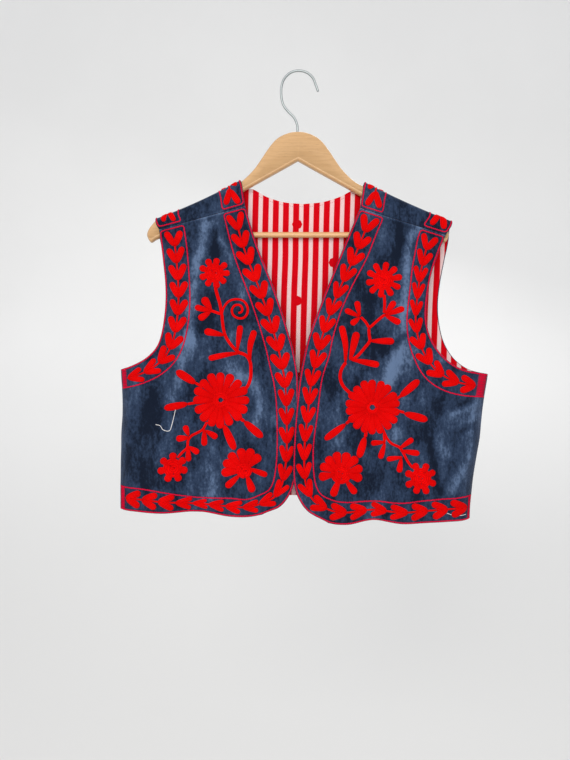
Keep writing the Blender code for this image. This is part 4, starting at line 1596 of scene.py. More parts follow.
class Outline(Enum):
    """Outline of a filled shape: places along it, then its share of the full width at each."""

    CLUB = ((0.0, 0.15, 0.45, 0.75, 1.0), (0.42, 0.52, 0.84, 1.0, 0.95))
    SPINDLE = ((0.0, 0.2, 0.5, 0.8, 1.0), (0.40, 0.78, 1.0, 0.95, 0.66))
    STEM = ((0.0, 0.5, 1.0), (1.0, 1.0, 1.0))
    LOBE = ((0.0, 0.2, 0.5, 0.8, 1.0), (0.54, 0.82, 1.0, 0.98, 0.82))
    PETAL = ((0.0, 0.4, 0.8, 1.0), (0.36, 0.66, 1.0, 1.0))


# middle line of a tulip's lobe: share of the tulip's width aside, and of its height
LOBE_LINE: Rows = ((0.02, 0.03), (0.085, 0.22), (0.20, 0.52), (0.305, 0.78), (0.385, 1.0))
# how far each ring of a link lies along it, then its share of the link's width and height
CHAIN_LINK: Rows = ((-0.5, 0.0, 0.0), (-0.36, 0.72, 0.8), (0.0, 1.0, 1.0), (0.36, 0.72, 0.8), (0.5, 0.0, 0.0))


@dataclass
class Needlework:
    """Stitches worked over one surface, gathered into one mesh.

    A filled shape is a low mound carried along its line: each cross-section is a flattened half ellipse with a flat
    underside just inside the velvet. A row of chain stitches is a row of small mounds of the same form.
    """

    surface: Surface
    rise: float = 1.5
    sink: float = 0.3
    row: float = 1.75
    stitch: float = 2.7
    across: int = 8
    fullness: float = 0.6
    steepest: float = 0.42
    # reach of a round end as a share of the width, and where its rings lie as shares of its reach
    end_share: float = 0.47
    end_rings: Row = (0.0, 0.04, 0.16, 0.36, 0.64)
    # how far stitches stray from their line, and their turn from one to the next
    sway: float = 0.12
    sway_turn: float = 2.3
    # distance between the rows of a filled round, and how many points a row has
    ring_row: float = 3.1
    ring_points: int = 30
    places: list[Array] = field(default_factory=list)
    above: list[Array] = field(default_factory=list)
    maps: list[Array] = field(default_factory=list)
    quads: list[Array] = field(default_factory=list)
    caps: list[Array] = field(default_factory=list)
    slots: tuple[list[Array], list[Array]] = field(default_factory=lambda: ([], []))
    total: int = 0

    def add(
        self, centre: Array, side: Array, wide: Array, top: Array, run: Array, rows: int, across: int, thread: Thread
    ) -> None:
        """Adds mounds by the centres of their rings; the first and last ring of each are one point.

        Args:
            centre: Centre of each ring, by mound and ring.
            side: The way to its left.
            wide: Its width.
            top: Its height above the velvet.
            run: Stitches from the mound's start to it.
            rows: Rows of stitches across a mound.
            across: Points over a ring; one more lies underneath.
            thread: The thread.
        """
        turn = np.linspace(0.0, math.pi, across)
        ring_across, height = np.r_[-np.cos(turn), 0.0], np.r_[np.sin(turn) ** self.fullness, -self.sink]
        place = centre[..., None, :] + side[..., None, :] * (ring_across * wide[..., None] / 2)[..., None]
        above = height * (top[..., None] + self.sink) - self.sink
        above, u, v = np.broadcast_arrays(above, run[..., None], (ring_across + 1.0) / 2 * rows, place[..., 0])[:3]
        uv = np.stack([u, v], axis=-1)
        mounds, rings, ring = above.shape
        inside = rings - 2
        index = self.total + np.arange(mounds * (inside * ring + 2)).reshape(mounds, -1)
        body = index[:, 2:].reshape(mounds, inside, ring)
        turned = np.roll(body, -1, axis=2)
        quads = np.stack([body[:, :-1], turned[:, :-1], turned[:, 1:], body[:, 1:]], axis=-1).reshape(-1, 4)
        first = np.stack([np.broadcast_to(index[:, :1], body[:, 0].shape), turned[:, 0], body[:, 0]], axis=-1)
        last = np.stack([np.broadcast_to(index[:, 1:2], body[:, -1].shape), body[:, -1], turned[:, -1]], axis=-1)
        caps = np.concatenate([first.reshape(-1, 3), last.reshape(-1, 3)])
        for store, values in ((self.places, place), (self.above, above[..., None]), (self.maps, uv)):
            width = values.shape[-1]
            ends = np.stack([values[:, 0, 0], values[:, -1, 0]], axis=1)
            store.append(np.concatenate([ends, values[:, 1:-1].reshape(mounds, -1, width)], axis=1).reshape(-1, width))
        self.total += index.size
        self.quads.append(quads)
        self.caps.append(caps)
        self.slots[0].append(np.full(len(quads), thread.value))
        self.slots[1].append(np.full(len(caps), thread.value))

    def fill(
        self,
        line: Array,
        width: float,
        outline: Outline,
        thread: Thread = Thread.WOOL,
        rise: float = 1.0,
        pace: float = 2.6,
    ) -> None:
        """Fills a shape: its width follows the outline, and both ends are round.

        Args:
            line: Points of the centre line.
            width: Full width.
            outline: How the width changes along the line.
            thread: The thread.
            rise: Share of the usual height.
            pace: Distance between cross-sections.
        """
        track = Track.through(line)
        keys, values = outline.value
        reach = min(width * self.end_share, track.length / 3)
        near = np.array(self.end_rings) * reach
        count = max(4, int(round((track.length - 2 * reach) / pace)))
        run = np.concatenate([near, np.linspace(reach, track.length - reach, count), track.length - near[::-1]])
        round_end = quarter_circle(np.minimum(run, track.length - run) / reach)
        wide = width * cubic(run / track.length, keys, values) * round_end
        top = np.minimum(self.rise * rise, wide * self.steepest)
        rows = max(1, round(width * max(values) / self.row))
        side = track.heading(run, 0.4)[1]
        self.add(track.at(run)[None], side[None], wide[None], top[None], run / self.stitch, rows, self.across, thread)

    def chain(
        self,
        track: Track,
        thread: Thread = Thread.EDGING,
        width: float = 2.5,
        pitch: float = 2.7,
        length: float = 3.2,
        rise: float = 1.05,
        turned: bool = False,
    ) -> None:
        """Works a row of stitches along a line, each a small mound.

        Args:
            track: The line.
            thread: The thread.
            width: Width of a stitch.
            pitch: Distance between stitches.
            length: Length of a stitch.
            rise: Height above the velvet.
            turned: Whether the stitches lie across the line, as whipping does.
        """
        count = max(2, int(round(track.length / pitch)))
        run = (np.arange(count) + 0.5) * track.length / count
        along, side = track.heading(run, 0.6)
        if turned:
            along, side = side, -along
        step, wide, top = np.array(CHAIN_LINK).T
        sway = self.sway * np.sin(self.sway_turn * np.arange(count))[:, None]
        centre = (track.at(run) + side * sway)[:, None] + along[:, None] * (step * length)[:, None]
        self.add(centre, side[:, None], wide[None] * width, top[None] * rise, (step + 0.5) * 0.98, 1, 5, thread)

    def leaf(self, row: Row, outline: Outline) -> None:
        """Fills a leaf or a bud.

        Args:
            row: X and z of its foot and of its tip, its width and how far it bends.
            outline: Its outline.
        """
        foot, tip = np.array(row[:2]), np.array(row[2:4])
        middle = (foot + tip) / 2 + left_of(tip - foot) * sum(row[5:])
        self.fill(np.array([foot, middle, tip]), row[4], outline)

    def rings(self, x: float, z: float, radius: float, hole: float) -> None:
        """Fills a round with rows of stitches, each row a circle that ends where it began.

        Args:
            x: Place of its middle.
            z: Place of its middle.
            radius: Its radius.
            hole: Radius of the hole in its middle, or 0.
        """
        count = max(1, int(round((radius - hole) / self.ring_row)))
        width = (radius - hole) / count
        turn = np.linspace(0.0, 2 * math.pi, self.ring_points)
        for i in range(count):
            circle = np.stack([np.cos(turn + 2.4 * i), np.sin(turn + 2.4 * i)], axis=-1) * (hole + (i + 0.5) * width)
            self.fill(np.array([x, z]) + circle, width * 1.2, Outline.STEM, rise=1.15, pace=1.5)

    def build(self, name: str, finishes: Finishes, node: str = "") -> Piece:
        """Lays every stitch on the surface and makes the mesh.

        Args:
            name: Name of the piece.
            finishes: The materials.
            node: The node that it takes the place of, if any.

        Returns:
            The piece.
        """
        place = np.concatenate(self.places)
        points = self.surface.on_top(place[:, 0], place[:, 1], np.concatenate(self.above)[:, 0])
        quads = np.concatenate(self.quads)
        caps = np.concatenate(self.caps)
        if self.surface.outward < 0:
            quads, caps = quads[:, ::-1], caps[:, ::-1]
        slots = [np.concatenate(part) for part in self.slots]
        uv = np.concatenate(self.maps)
        return put_mesh(name, points, [quads, caps], finishes.threads, "red_wool", node, slots, uv)


@dataclass(frozen=True)
class Flower:
    """A thick chain-stitched flower."""

    node: str
    x: float
    z: float
    radius: float
    petals: int
    petal: float
    disc: float
    hole: float = 0.0
    first: float = 0.0
    sweep: float = 360.0
    outline: Outline = Outline.CLUB
    # by how much the petals stray from their angle in degrees, and vary in reach and width
    stray: float = 1.5
    reaches: Row = (0.96, 1.02)
    petals_wide: Row = (0.96, 1.04)

    def build(self, surface: Surface, finishes: Finishes) -> Piece:
        """Makes the flower: round-ended petals that widen outwards, and rings of stitches over their feet.

        Args:
            surface: The surface that it lies on.
            finishes: The materials.

        Returns:
            The flower.
        """
        needle = Needlework(surface, rise=1.7, across=9)
        chance = np.random.default_rng(self.petals * 7 + int(self.radius))
        turn = self.sweep / (self.petals if self.sweep == 360.0 else self.petals - 1)
        for i in range(self.petals):
            angle = math.radians(self.first + i * turn + chance.uniform(-self.stray, self.stray))
            ahead = np.array([math.sin(angle), math.cos(angle)])
            reach = self.radius * chance.uniform(*self.reaches)
            foot = max(self.disc * 0.5, self.hole + 2.0)
            points = np.array([self.x, self.z]) + np.outer(np.linspace(foot, reach, 4), ahead)
            needle.fill(points, self.petal * chance.uniform(*self.petals_wide), self.outline)
        needle.rings(self.x, self.z, self.disc, self.hole)
        return needle.build(self.node + "_wool", finishes, self.node)


@dataclass(frozen=True)
class Band:
    """A band of tulips along an edge of the cloth, between two chain-stitched lines.

    The edge lies to one side of the band, and inward is 1 where the band is to the left of the travel.
    """

    edge: Track
    inward: float
    widths: Rows
    keep: Callable[[Array], Array]
    counts: tuple[int, ...]
    lobes: Row
    turns: Row = ()
    seed: int = 1
    fullness: Row = (0.9, 0.9)
    whipping: float = 0.0
    closed: bool = True
    spare: tuple[float, float] = (1.0, 2.0)
    meets: tuple[Array, Array] | None = None
    rim: float = 1.7
    gap: float = 2.6
    aside: float = 0.7
    widest: float = 1.12
    stem_width: float = 2.7
    # how far the outer line, the inner line, the corners between them and the vine are rounded
    rim_blur: float = 3.0
    inner_blur: float = 8.0
    corner_blur: float = 6.0
    vine_blur: float = 10.0
    # how long the bend of the outer and of the inner line is, and how far it is rounded
    bends: tuple[Row, Row] = ((10.0, 3.0), (30.0, 11.0))
    # least and most of a tulip's height and of its lobes' heights and widths, as shares
    heights: Row = (0.97, 1.03)
    lobe_heights: Row = (0.94, 1.04)
    lobe_widths: Row = (0.95, 1.04)
    # from where to where a stem runs, as shares of the pitch
    stem_span: Row = (-0.55, 0.2)

    def line(self, away: Array, blur: float) -> Track:
        """A line at a distance inside the edge, cut to the kept places."""
        return Track.through(self.edge.beside(self.inward * away).points, blur).clipped(self.keep)

    def met(self, line: Track, end: int) -> Track:
        """Bends a line over its last stretch to meet another line's end.

        Args:
            line: The line.
            end: 0 for the outer line, 1 for the inner one.

        Returns:
            The line, bent where there is one to meet.
        """
        if self.meets is None:
            return line
        stretch, blur = self.bends[end]
        body = line.between(0.0, line.length - stretch).points
        joined = np.linspace(body[-1], self.meets[end], 40)[1:]
        return Track.through(np.concatenate([body, joined]), blur)

    def work(self, needle: Needlework) -> tuple[Track, Track]:
        """Works the lines, the closing over the far end, the whipping at the near end, and the vine.

        Args:
            needle: The needlework that it goes into.

        Returns:
            The outer and the inner line.
        """
        wide = lookup(self.widths, self.edge.runs)
        outer = self.met(self.line(np.full_like(wide, self.rim), self.rim_blur), 0)
        inner = self.met(self.line(wide, self.inner_blur), 1)
        if self.closed:
            closing = np.linspace(outer.points[-1], inner.points[-1], 40)[1:-1]
            round_end = np.concatenate([outer.points, closing, inner.points[::-1]])
            needle.chain(Track.through(round_end, self.corner_blur))
        else:
            needle.chain(outer)
            needle.chain(inner)
        if self.whipping:
            first, last = (line.at(np.array([self.whipping / 2]))[0] for line in (outer, inner))
            across = Track.through(np.linspace(first, last, 20))
            needle.chain(across, width=1.7, pitch=1.5, length=self.whipping, rise=1.2, turned=True)
        middle = self.line((wide + self.rim) / 2 + self.aside, self.vine_blur)
        scale = middle.length / self.edge.length
        start = self.whipping + self.spare[0]
        vine = middle.between(start, middle.length - self.spare[1])
        turns = tuple(turn * scale - start for turn in self.turns)
        self.vine(needle, vine, turns, wide - self.rim - 2 * self.gap)
        return outer, inner

    def vine(self, needle: Needlework, line: Track, turns: Row, room: Array) -> None:
        """Works tulips on a running stem: two lobes that part in a V, on a stem out of the last one's notch.

        Args:
            needle: The needlework that they go into.
            line: The line that they stand on.
            turns: Distances along it where their pitch changes.
            room: How wide they may be, along the line.
        """
        chance = np.random.default_rng(self.seed)
        marks = np.r_[0.0, turns, line.length]
        runs = np.interp(np.arange(sum(self.counts) + 1), np.r_[0, np.cumsum(self.counts)], marks)
        along_line = np.linspace(0.0, line.length, len(room))
        sections = np.repeat(np.stack([self.lobes, self.fullness[: len(self.lobes)]], axis=1), self.counts, axis=0)
        for start, end, (lobe_width, fullness) in zip(runs, runs[1:], sections):
            pitch = end - start
            height = pitch * fullness * chance.uniform(*self.heights)
            width = min(float(np.interp((start + end) / 2, along_line, room)), pitch * self.widest)
            root = line.at(np.array([start, start + 0.6 * height]))
            ahead = unit(root[1] - root[0])
            left = left_of(ahead)
            for hand in (-1.0, 1.0):
                tall = height * chance.uniform(*self.lobe_heights)
                wide = width * chance.uniform(*self.lobe_widths)
                away, up = np.array(LOBE_LINE).T
                points = root[0] + np.outer(up * tall, ahead) + np.outer(away * wide * hand, left)
                needle.fill(points, wide * lobe_width, Outline.LOBE)
            first, last = (start + share * pitch for share in self.stem_span)
            stem = line.at(np.linspace(max(first, -0.5), last, 4))
            needle.fill(stem, self.stem_width, Outline.STEM, rise=0.8)


@dataclass(frozen=True)
class Pattern:
    """What is worked on one front: its two bands, and the sprays round its flowers."""

    edge_widths: Rows
    armhole_widths: Rows
    edge_counts: tuple[int, int]
    armhole_count: int
    corner_run: float
    whipping: tuple[float, float]
    fullness: Row
    # width of a stem, then x and z of its points
    stems: Rows
    leaves: Rows
    spindles: Rows
    threads: Rows
    flowers: tuple[Flower, ...]
    seed: int
    # width of a lobe as a share of its tulip's, up to the lower corner, past it, and round the armhole
    edge_lobes: Row = (0.39, 0.355)
    armhole_lobes: Row = (0.35,)

    def build(self, front: Front, finishes: Finishes) -> list[Piece]:
        """Works the front's embroidery.

        Args:
            front: The front.
            finishes: The materials.

        Returns:
            The sprays and bands, and each flower.
        """
        needle = Needlework(front.surface)
        form, side = front.form, front.side

        def keep(points: Array) -> Array:
            """Whether points lie clear of the side seam and of the shoulder's seam."""
            return (form.inside(points, side) > SIDE_CLEAR) & (form.below_seam(points, side) > SEAM_CLEAR)

        edge, armhole = front.edge_track(), front.armhole_track()
        Band(
            edge, side.hand, self.edge_widths, keep, self.edge_counts, self.edge_lobes, (self.corner_run,),
            self.seed, self.fullness, self.whipping[0],
        ).work(needle)
        Band(
            armhole, -side.hand, self.armhole_widths, keep, (self.armhole_count,), self.armhole_lobes, (),
            self.seed + 1, self.fullness[1:], self.whipping[1],
        ).work(needle)
        for width, *line in self.stems:
            needle.fill(np.reshape(line, (-1, 2)), width, Outline.STEM, rise=0.85, pace=2.0)
        for line in self.threads:
            needle.fill(np.reshape(line, (-1, 2)), 0.8, Outline.STEM, Thread.COTTON, rise=0.45, pace=2.0)
        for rows, outline in ((self.leaves, Outline.CLUB), (self.spindles, Outline.SPINDLE)):
            for row in rows:
                needle.leaf(row, outline)
        made = [needle.build(front.panel.value + "_embroidery", finishes)]
        return made + [flower.build(front.surface, finishes) for flower in self.flowers]


@dataclass(frozen=True)
class BackEmbroidery:
    """The bands of the back: round the neck, the armholes and the hem, and over the yokes."""

    back: Back
    neck_width: float = 35.0
    armhole_width: float = 35.0
    hem_width: float = 31.0
    neck_tulips: int = 5
    armhole_tulips: int = 9
    hem_tulips: int = 10
    # how far from the middle there is no fold to keep below
    neck_reach: float = 60.0
    whipping: float = 4.5
    # what a vine leaves free at its two ends, and at the end of one that bends to meet a yoke's lines
    spare: Row = (1.0, 2.0)
    spare_for_bend: float = 14.0
    # the neckline as the lining's stitches follow it, and how far below it they lie
    stitched_neck: Rows = (
        (-66, -168.5), (-46, -179.5), (-20, -187.5), (9, -190), (37, -187), (63, -179), (80, -170.5),
    )
    stitched_drop: float = 4.2

    def build(self, finishes: Finishes) -> list[Piece]:
        """Works the bands of the two halves and of their yokes' fronts."""
        return [piece for side in Side for piece in self.half(side, finishes)]

    def top_stitching(self, finishes: Finishes) -> Piece:
        """Works the line of stitches that holds the lining, just under the neckline.

        Args:
            finishes: The materials.

        Returns:
            The stitches.
        """
        needle = Needlework(LiningSurface(self.back.surfaces[Side.LEFT]))
        neck = Track.through(np.array(self.stitched_neck)).beside(-self.stitched_drop)
        needle.chain(neck, width=0.7, pitch=3.0, length=2.3, rise=0.25)
        return needle.build("lining_top_stitching", finishes)

    def half(self, side: Side, finishes: Finishes) -> list[Piece]:
        """Works one half: the yoke first, then the bands behind it, which meet the yoke's lines.

        Args:
            side: Which half.
            finishes: The materials.

        Returns:
            The half's embroidery and its yoke's.
        """
        back, form = self.back, self.back.form
        hand = side.hand

        def on_yoke(points: Array) -> Array:
            """Whether points lie between the seam and the top of the fold."""
            return (form.below_seam(points, side) < -SEAM_CLEAR) & form.under_fold(points, side)

        def behind(points: Array) -> Array:
            """Whether points lie behind the fold, clear of the side seam and on this half.

            Args:
                points: The points.

            Returns:
                True for each that does.
            """
            inwards = (form.centre_x - points[..., 0]) * hand
            below = form.under_fold(points, side) | (np.abs(inwards) < self.neck_reach)
            return below & (form.inside(points, side) > SIDE_CLEAR) & (inwards > -0.5)

        yoke = Needlework(YokeSurface(back.surfaces[side]))
        neck, armhole = back.yoke_track(side, 0), back.yoke_track(side, -1)
        top = [
            Band(neck, -hand, ((0, 33), (40, 33)), on_yoke, (2,), (0.36,), (), 21, spare=(-15.0, 2.0)).work(yoke),
            Band(armhole, hand, ((0, 34), (30, 34)), on_yoke, (1,), (0.35,), (), 22, spare=(-4.0, 1.0)).work(yoke),
        ]
        ends = [tuple(line.points[0] for line in pair) for pair in top]
        needle = Needlework(back.surfaces[side])
        hem = back.hem_track()
        middle_run = float(np.interp(form.centre_x, hem.points[:, 0], hem.runs))
        half = hem.between(0.0, middle_run) if side is Side.LEFT else hem.between(hem.length, middle_run)
        parts = (
            (back.edge_track(side, 0, back.neck_row), self.neck_width, hand, self.neck_tulips, ends[0], 0.0),
            (
                back.edge_track(side, -1, back.underarm), self.armhole_width, -hand, self.armhole_tulips, ends[1],
                self.whipping,
            ),
            (half, self.hem_width, hand, self.hem_tulips, None, self.whipping),
        )
        for i, (edge, width, inward, count, meets, whipping) in enumerate(parts):
            spare = (self.spare[0], self.spare[1] if meets is None else self.spare_for_bend)
            Band(
                edge, inward, ((0, width), (400, width)), behind, (count,), (0.36,), (), 11 + i, (0.9,), whipping,
                False, spare, meets,
            ).work(needle)
        name = "back_" + side.value
        return [needle.build(name + "_embroidery", finishes), yoke.build(name + "_yoke_embroidery", finishes)]


# ---- hanger


@dataclass(frozen=True)
class Hanger:
    """The wooden hanger: two arms in one piece, a trouser bar and a wire hook."""

    thickness: float = 12.0
    rounding: float = 4.5
    # how far the ends of the arms draw in across and along, as shares of the rounding
    drawn_across: float = 0.7
    drawn_along: float = 0.5
    # half the outline, x and z, from the crown out along the top
    top: Rows = (
        (0, -88), (9, -88.8), (18, -91.5), (33, -100.5), (44, -114), (53, -127.5), (62, -140.5),
        (73, -152.5), (81, -159.67), (98.86, -169.22), (116.71, -178.36), (134.57, -187.01), (152.43, -195.16),
        (170.29, -202.82), (188.14, -209.97), (206, -216.63), (214, -226), (219, -233),
    )
    underside: Rows = (
        (0, -130), (6, -133.4), (60, -163.5), (120, -196.8), (180, -230.1), (208, -245.65),
        (214, -248.5), (219, -242.5),
    )
    # rings along the arms, at even steps but for the last stretch at each end, where they crowd
    arm_rings: int = 181
    end_stretch: float = 12.0
    bar_z: float = -237.5
    bar_radius: float = 4.0
    bar_half: float = 205.0
    bar_chamfer: float = 0.5
    wire_radius: float = 1.75
    hook: Rows = (
        (-1, -112), (-1, -90), (-1, -78), (-5.5, -67), (-14.5, -57.5), (-21.5, -47.5), (-24.2, -35),
        (-24, -22.5), (-20.5, -11), (-11.5, -1.6), (0, 1.75), (12.5, -0.8), (21.5, -8.5), (26, -19),
        (29.5, -29),
    )

    def build(self, finishes: Finishes) -> list[Piece]:
        """Makes the arms, the bar and the hook."""
        return [self.arms(finishes), self.bar(finishes), self.wire(finishes)]

    def arms(self, finishes: Finishes) -> Piece:
        """Lofts the arms: a rounded rectangle between the top and the underside, drawn in at both ends.

        Args:
            finishes: The materials.

        Returns:
            The arms.
        """
        end = self.top[-1][0]
        out = end * np.sin(np.linspace(-0.5, 0.5, self.arm_rings) * math.pi)
        out = np.where(np.abs(out) > end - self.end_stretch, out, np.linspace(-end, end, self.arm_rings))
        x = np.sort(out)
        top, low = lookup(self.top, np.abs(x)), lookup(self.underside, np.abs(x))
        middle = (top + low) / 2
        drawn = quarter_circle((end - np.abs(x)) / self.rounding)
        across = self.rounding * self.drawn_across
        half_y = (self.thickness / 2 - across) + across * drawn
        half_z = (top - low) / 2 - self.rounding * self.drawn_along * (1.0 - drawn)
        corner = np.linspace(0.0, math.pi / 2, 6)
        y_unit = np.concatenate([np.sin(corner), np.sin(corner + math.pi / 2)])
        z_unit = np.concatenate([np.cos(corner), np.cos(corner + math.pi / 2)])
        y_unit = np.concatenate([y_unit, -y_unit])
        z_unit = np.concatenate([z_unit, -z_unit])
        radius = np.minimum(self.rounding, np.minimum(half_y, half_z))[:, None]
        y = y_unit * radius + np.sign(y_unit + 1e-9 * np.sign(y_unit)) * (half_y[:, None] - radius)
        z = z_unit * radius + np.sign(z_unit) * (half_z[:, None] - radius)
        points = np.stack([np.broadcast_to(x[:, None], y.shape), y, middle[:, None] + z], axis=-1)
        index = np.arange(y.size).reshape(y.shape)
        faces = [ring_faces(index), np.stack([index[0], index[-1, ::-1]])]
        return put_mesh("hanger_arms_wood", points.reshape(-1, 3), faces, [finishes.beech], "beech", "hanger_arms")

    def bar(self, finishes: Finishes) -> Piece:
        """Turns the bar, with a small chamfer at its ends.

        Args:
            finishes: The materials.

        Returns:
            The bar.
        """
        length, ends = 2 * self.bar_half, np.array([0.0, 0.02, self.bar_chamfer])
        x = np.r_[ends, np.linspace(2.0, length - 2.0, 60), length - ends[::-1]] - self.bar_half
        radius = np.full(len(x), self.bar_radius)
        radius[[0, -1]] = 0.0
        radius[[1, -2]] -= self.bar_chamfer
        shape = tube(np.stack([x, np.full(len(x), self.bar_z)], axis=-1), radius, 32)
        return put_mesh("hanger_bar_wood", *shape, [finishes.pale_beech], "pale_beech", "hanger_bar")

    def wire(self, finishes: Finishes) -> Piece:
        """Bends the hook, its free end rounded.

        Args:
            finishes: The materials.

        Returns:
            The hook.
        """
        centre = curve_through(np.array(self.hook), (), np.linspace(0, len(self.hook) - 1, 240))
        run = runs_of(centre)
        radius = self.wire_radius * quarter_circle((run[-1] - run) / self.wire_radius)
        shape = tube(centre, radius, 24)
        return put_mesh("hanger_hook_wire", *shape, [finishes.steel], "steel_wire", "hanger_hook")


# ---- studio


@dataclass(frozen=True)
class Studio:
    """Pale floor and wall, soft lights and the camera."""

    camera_place: Color = (-0.0189, -0.845, -0.4488)
    lens: float = 27.48
    sensor: float = 36.0
    floor_z: float = -1.45
    wall_y: float = 2.4
    sweep: float = 2.2
    extent: float = 6.0
    aim: Color = (0.0, 0.0, -0.42)
    pale: Color = (0.87, 0.86, 0.835)
    sky: Color = (0.93, 0.95, 1.0)
    sky_strength: float = 0.78

    def light(self, name: str, place: Color, size: float, power: float, color: Color) -> None:
        """Hangs one square lamp that faces the vest.

        Args:
            name: Name of the lamp.
            place: Where it hangs.
            size: Its side.
            power: Its power in watts.
            color: Colour of its light.
        """
        lamp = bpy.data.lights.new(name, "AREA")
        lamp.shape = "SQUARE"
        lamp.size = size
        lamp.energy = power
        lamp.color = color
        made = bpy.data.objects.new(name, lamp)
        made.location = place
        made.rotation_euler = (Vector(self.aim) - Vector(place)).to_track_quat("-Z", "Y").to_euler()
        bpy.context.scene.collection.objects.link(made)

    def build(self) -> None:
        """Sets up the floor, the wall, the lights, the air and the camera."""
        material, graph, shader = new_material("plaster")
        place = graph.place()
        wall = graph.mix(graph.step(graph.noise(place, 1.2), 0.3, 0.7), dimmed(self.pale, 0.97), self.pale)
        height = graph.node("ShaderNodeSeparateXYZ", {0: place}).outputs[2]
        # painted shade: the plaster turns darker towards the floor
        color = graph.mix(graph.step(height, self.floor_z, -0.2), dimmed(self.pale, 0.76), wall)
        graph.feed(shader, {"Base Color": color, "Roughness": 0.9})
        turn = np.linspace(0.0, math.pi / 2, 40)
        y = np.r_[-self.extent, self.wall_y - self.sweep * (1.0 - np.sin(turn)), self.wall_y]
        z = np.r_[self.floor_z, self.floor_z + self.sweep * (1.0 - np.cos(turn)), self.extent]
        x = np.array([-self.extent, self.extent])
        points = np.stack([np.broadcast_to(x, (len(y), 2)), np.stack([y, y], 1), np.stack([z, z], 1)], axis=-1)
        mesh = bpy.data.meshes.new("floor_and_wall")
        faces = grid_faces(np.arange(points.size // 3).reshape(len(y), 2))
        mesh.from_pydata(points.reshape(-1, 3).tolist(), [], faces.tolist())
        mesh.materials.append(material)
        mesh.shade_smooth()
        made = bpy.data.objects.new("floor_and_wall", mesh)
        bpy.context.scene.collection.objects.link(made)
        self.light("key", (-0.8, -2.2, 0.6), 1.3, 34.0, (1.0, 0.985, 0.96))
        self.light("fill", (0.3, -2.4, -0.25), 1.3, 24.0, (0.96, 0.98, 1.0))
        self.light("rear", (0.6, 1.3, 1.2), 1.6, 16.0, (1.0, 1.0, 1.0))
        world = bpy.data.worlds.new("air")
        world.use_nodes = True
        sky = world.node_tree.nodes["Background"]
        sky.inputs["Color"].default_value = (*self.sky, 1.0)
        sky.inputs["Strength"].default_value = self.sky_strength
        scene = bpy.context.scene
        scene.world = world
        scene.view_settings.view_transform = "Standard"
        lens = bpy.data.cameras.new("camera")
        lens.lens = self.lens
        lens.sensor_fit = "VERTICAL"
        lens.sensor_height = self.sensor
        lens.clip_start = 0.01
        camera = bpy.data.objects.new("camera", lens)
        camera.location = self.camera_place
        camera.rotation_euler = (math.pi / 2, 0.0, 0.0)
        scene.collection.objects.link(camera)
        scene.camera = camera


# ---- the vest's own sizes

# inner x and z, outer x and z of each row; 0 where the side seam or the fold gives the value
FRONT_ROWS: dict[Panel, Rows] = {
    Panel.RIGHT_FRONT: (
        (-76.5, -198, -200.5, -232), (-59, -255, -194.5, -276), (-36, -314, -190, -318),
        (-21, -358, -190.5, -350), (-12, -388, -195, -383), (-7.5, -404, -202, -402),
        (-3.5, -424, -217, -417.5), (-1.2, -437, -238, -428.5), (-0.3, -446, 0, -433.5),
        (0.3, -498, 0, -486), (0.2, -550, 0, -545), (-4.5, -588, 0, -588),
        (-11.5, -610, 0, -606), (-26, -628.5, 0, -621), (-51.5, -638, 0, -635.5),
    ),
    Panel.LEFT_FRONT: (
        (89.5, -201, 212.5, -240), (74.5, -236, 201, -268), (49, -298, 189.5, -303),
        (27, -354, 182.3, -352), (14, -390, 185, -378), (9.5, -408, 194, -399),
        (6, -425, 210, -419), (3, -440, 234, -433.5), (1, -452, 0, -440),
        (-4.5, -505, 0, -500), (-7.2, -555, 0, -555), (-7, -590, 0, -595),
        (-1, -614, 0, -616), (14, -635.5, 0, -634), (42, -650, 0, -650),
    ),
}
BACK_ROWS: dict[Side, Rows] = {
    Side.LEFT: (
        (-76.5, -197.7, -200.5, -231.7), (-80.8, 0, -204.6, 0), (-82, 0, -206, 0),
        (-80, 0, -205.8, 0), (-66, -168.5, -203, -243), (-46, -179.5, -196.5, -272),
        (-20, -187.5, -189.5, -304), (9, -190, -185.5, -334), (9, -265, -187, -362),
        (9, -335, -195, -389), (9, -385, -209, -411), (9, -425, -231, -427),
        (9, -452, 0, -433.5), (9, -510, 0, -503), (9, -570, 0, -575),
        (9, -618, 0, -635.5),
    ),
    Side.RIGHT: (
        (89.5, -200.7, 212.5, -239.7), (93.8, 0, 220.5, 0), (95, 0, 223, 0), (93, 0, 223.2, 0),
        (80, -170.5, 221.5, -247), (63, -179, 216, -274), (37, -187, 210, -306),
        (9, -190, 207, -336), (9, -265, 209, -366), (9, -335, 216.5, -394),
        (9, -385, 230, -416), (9, -425, 250, -432), (9, -452, 0, -440),
        (9, -510, 0, -510), (9, -570, 0, -580), (9, -618, 0, -650),
    ),
}
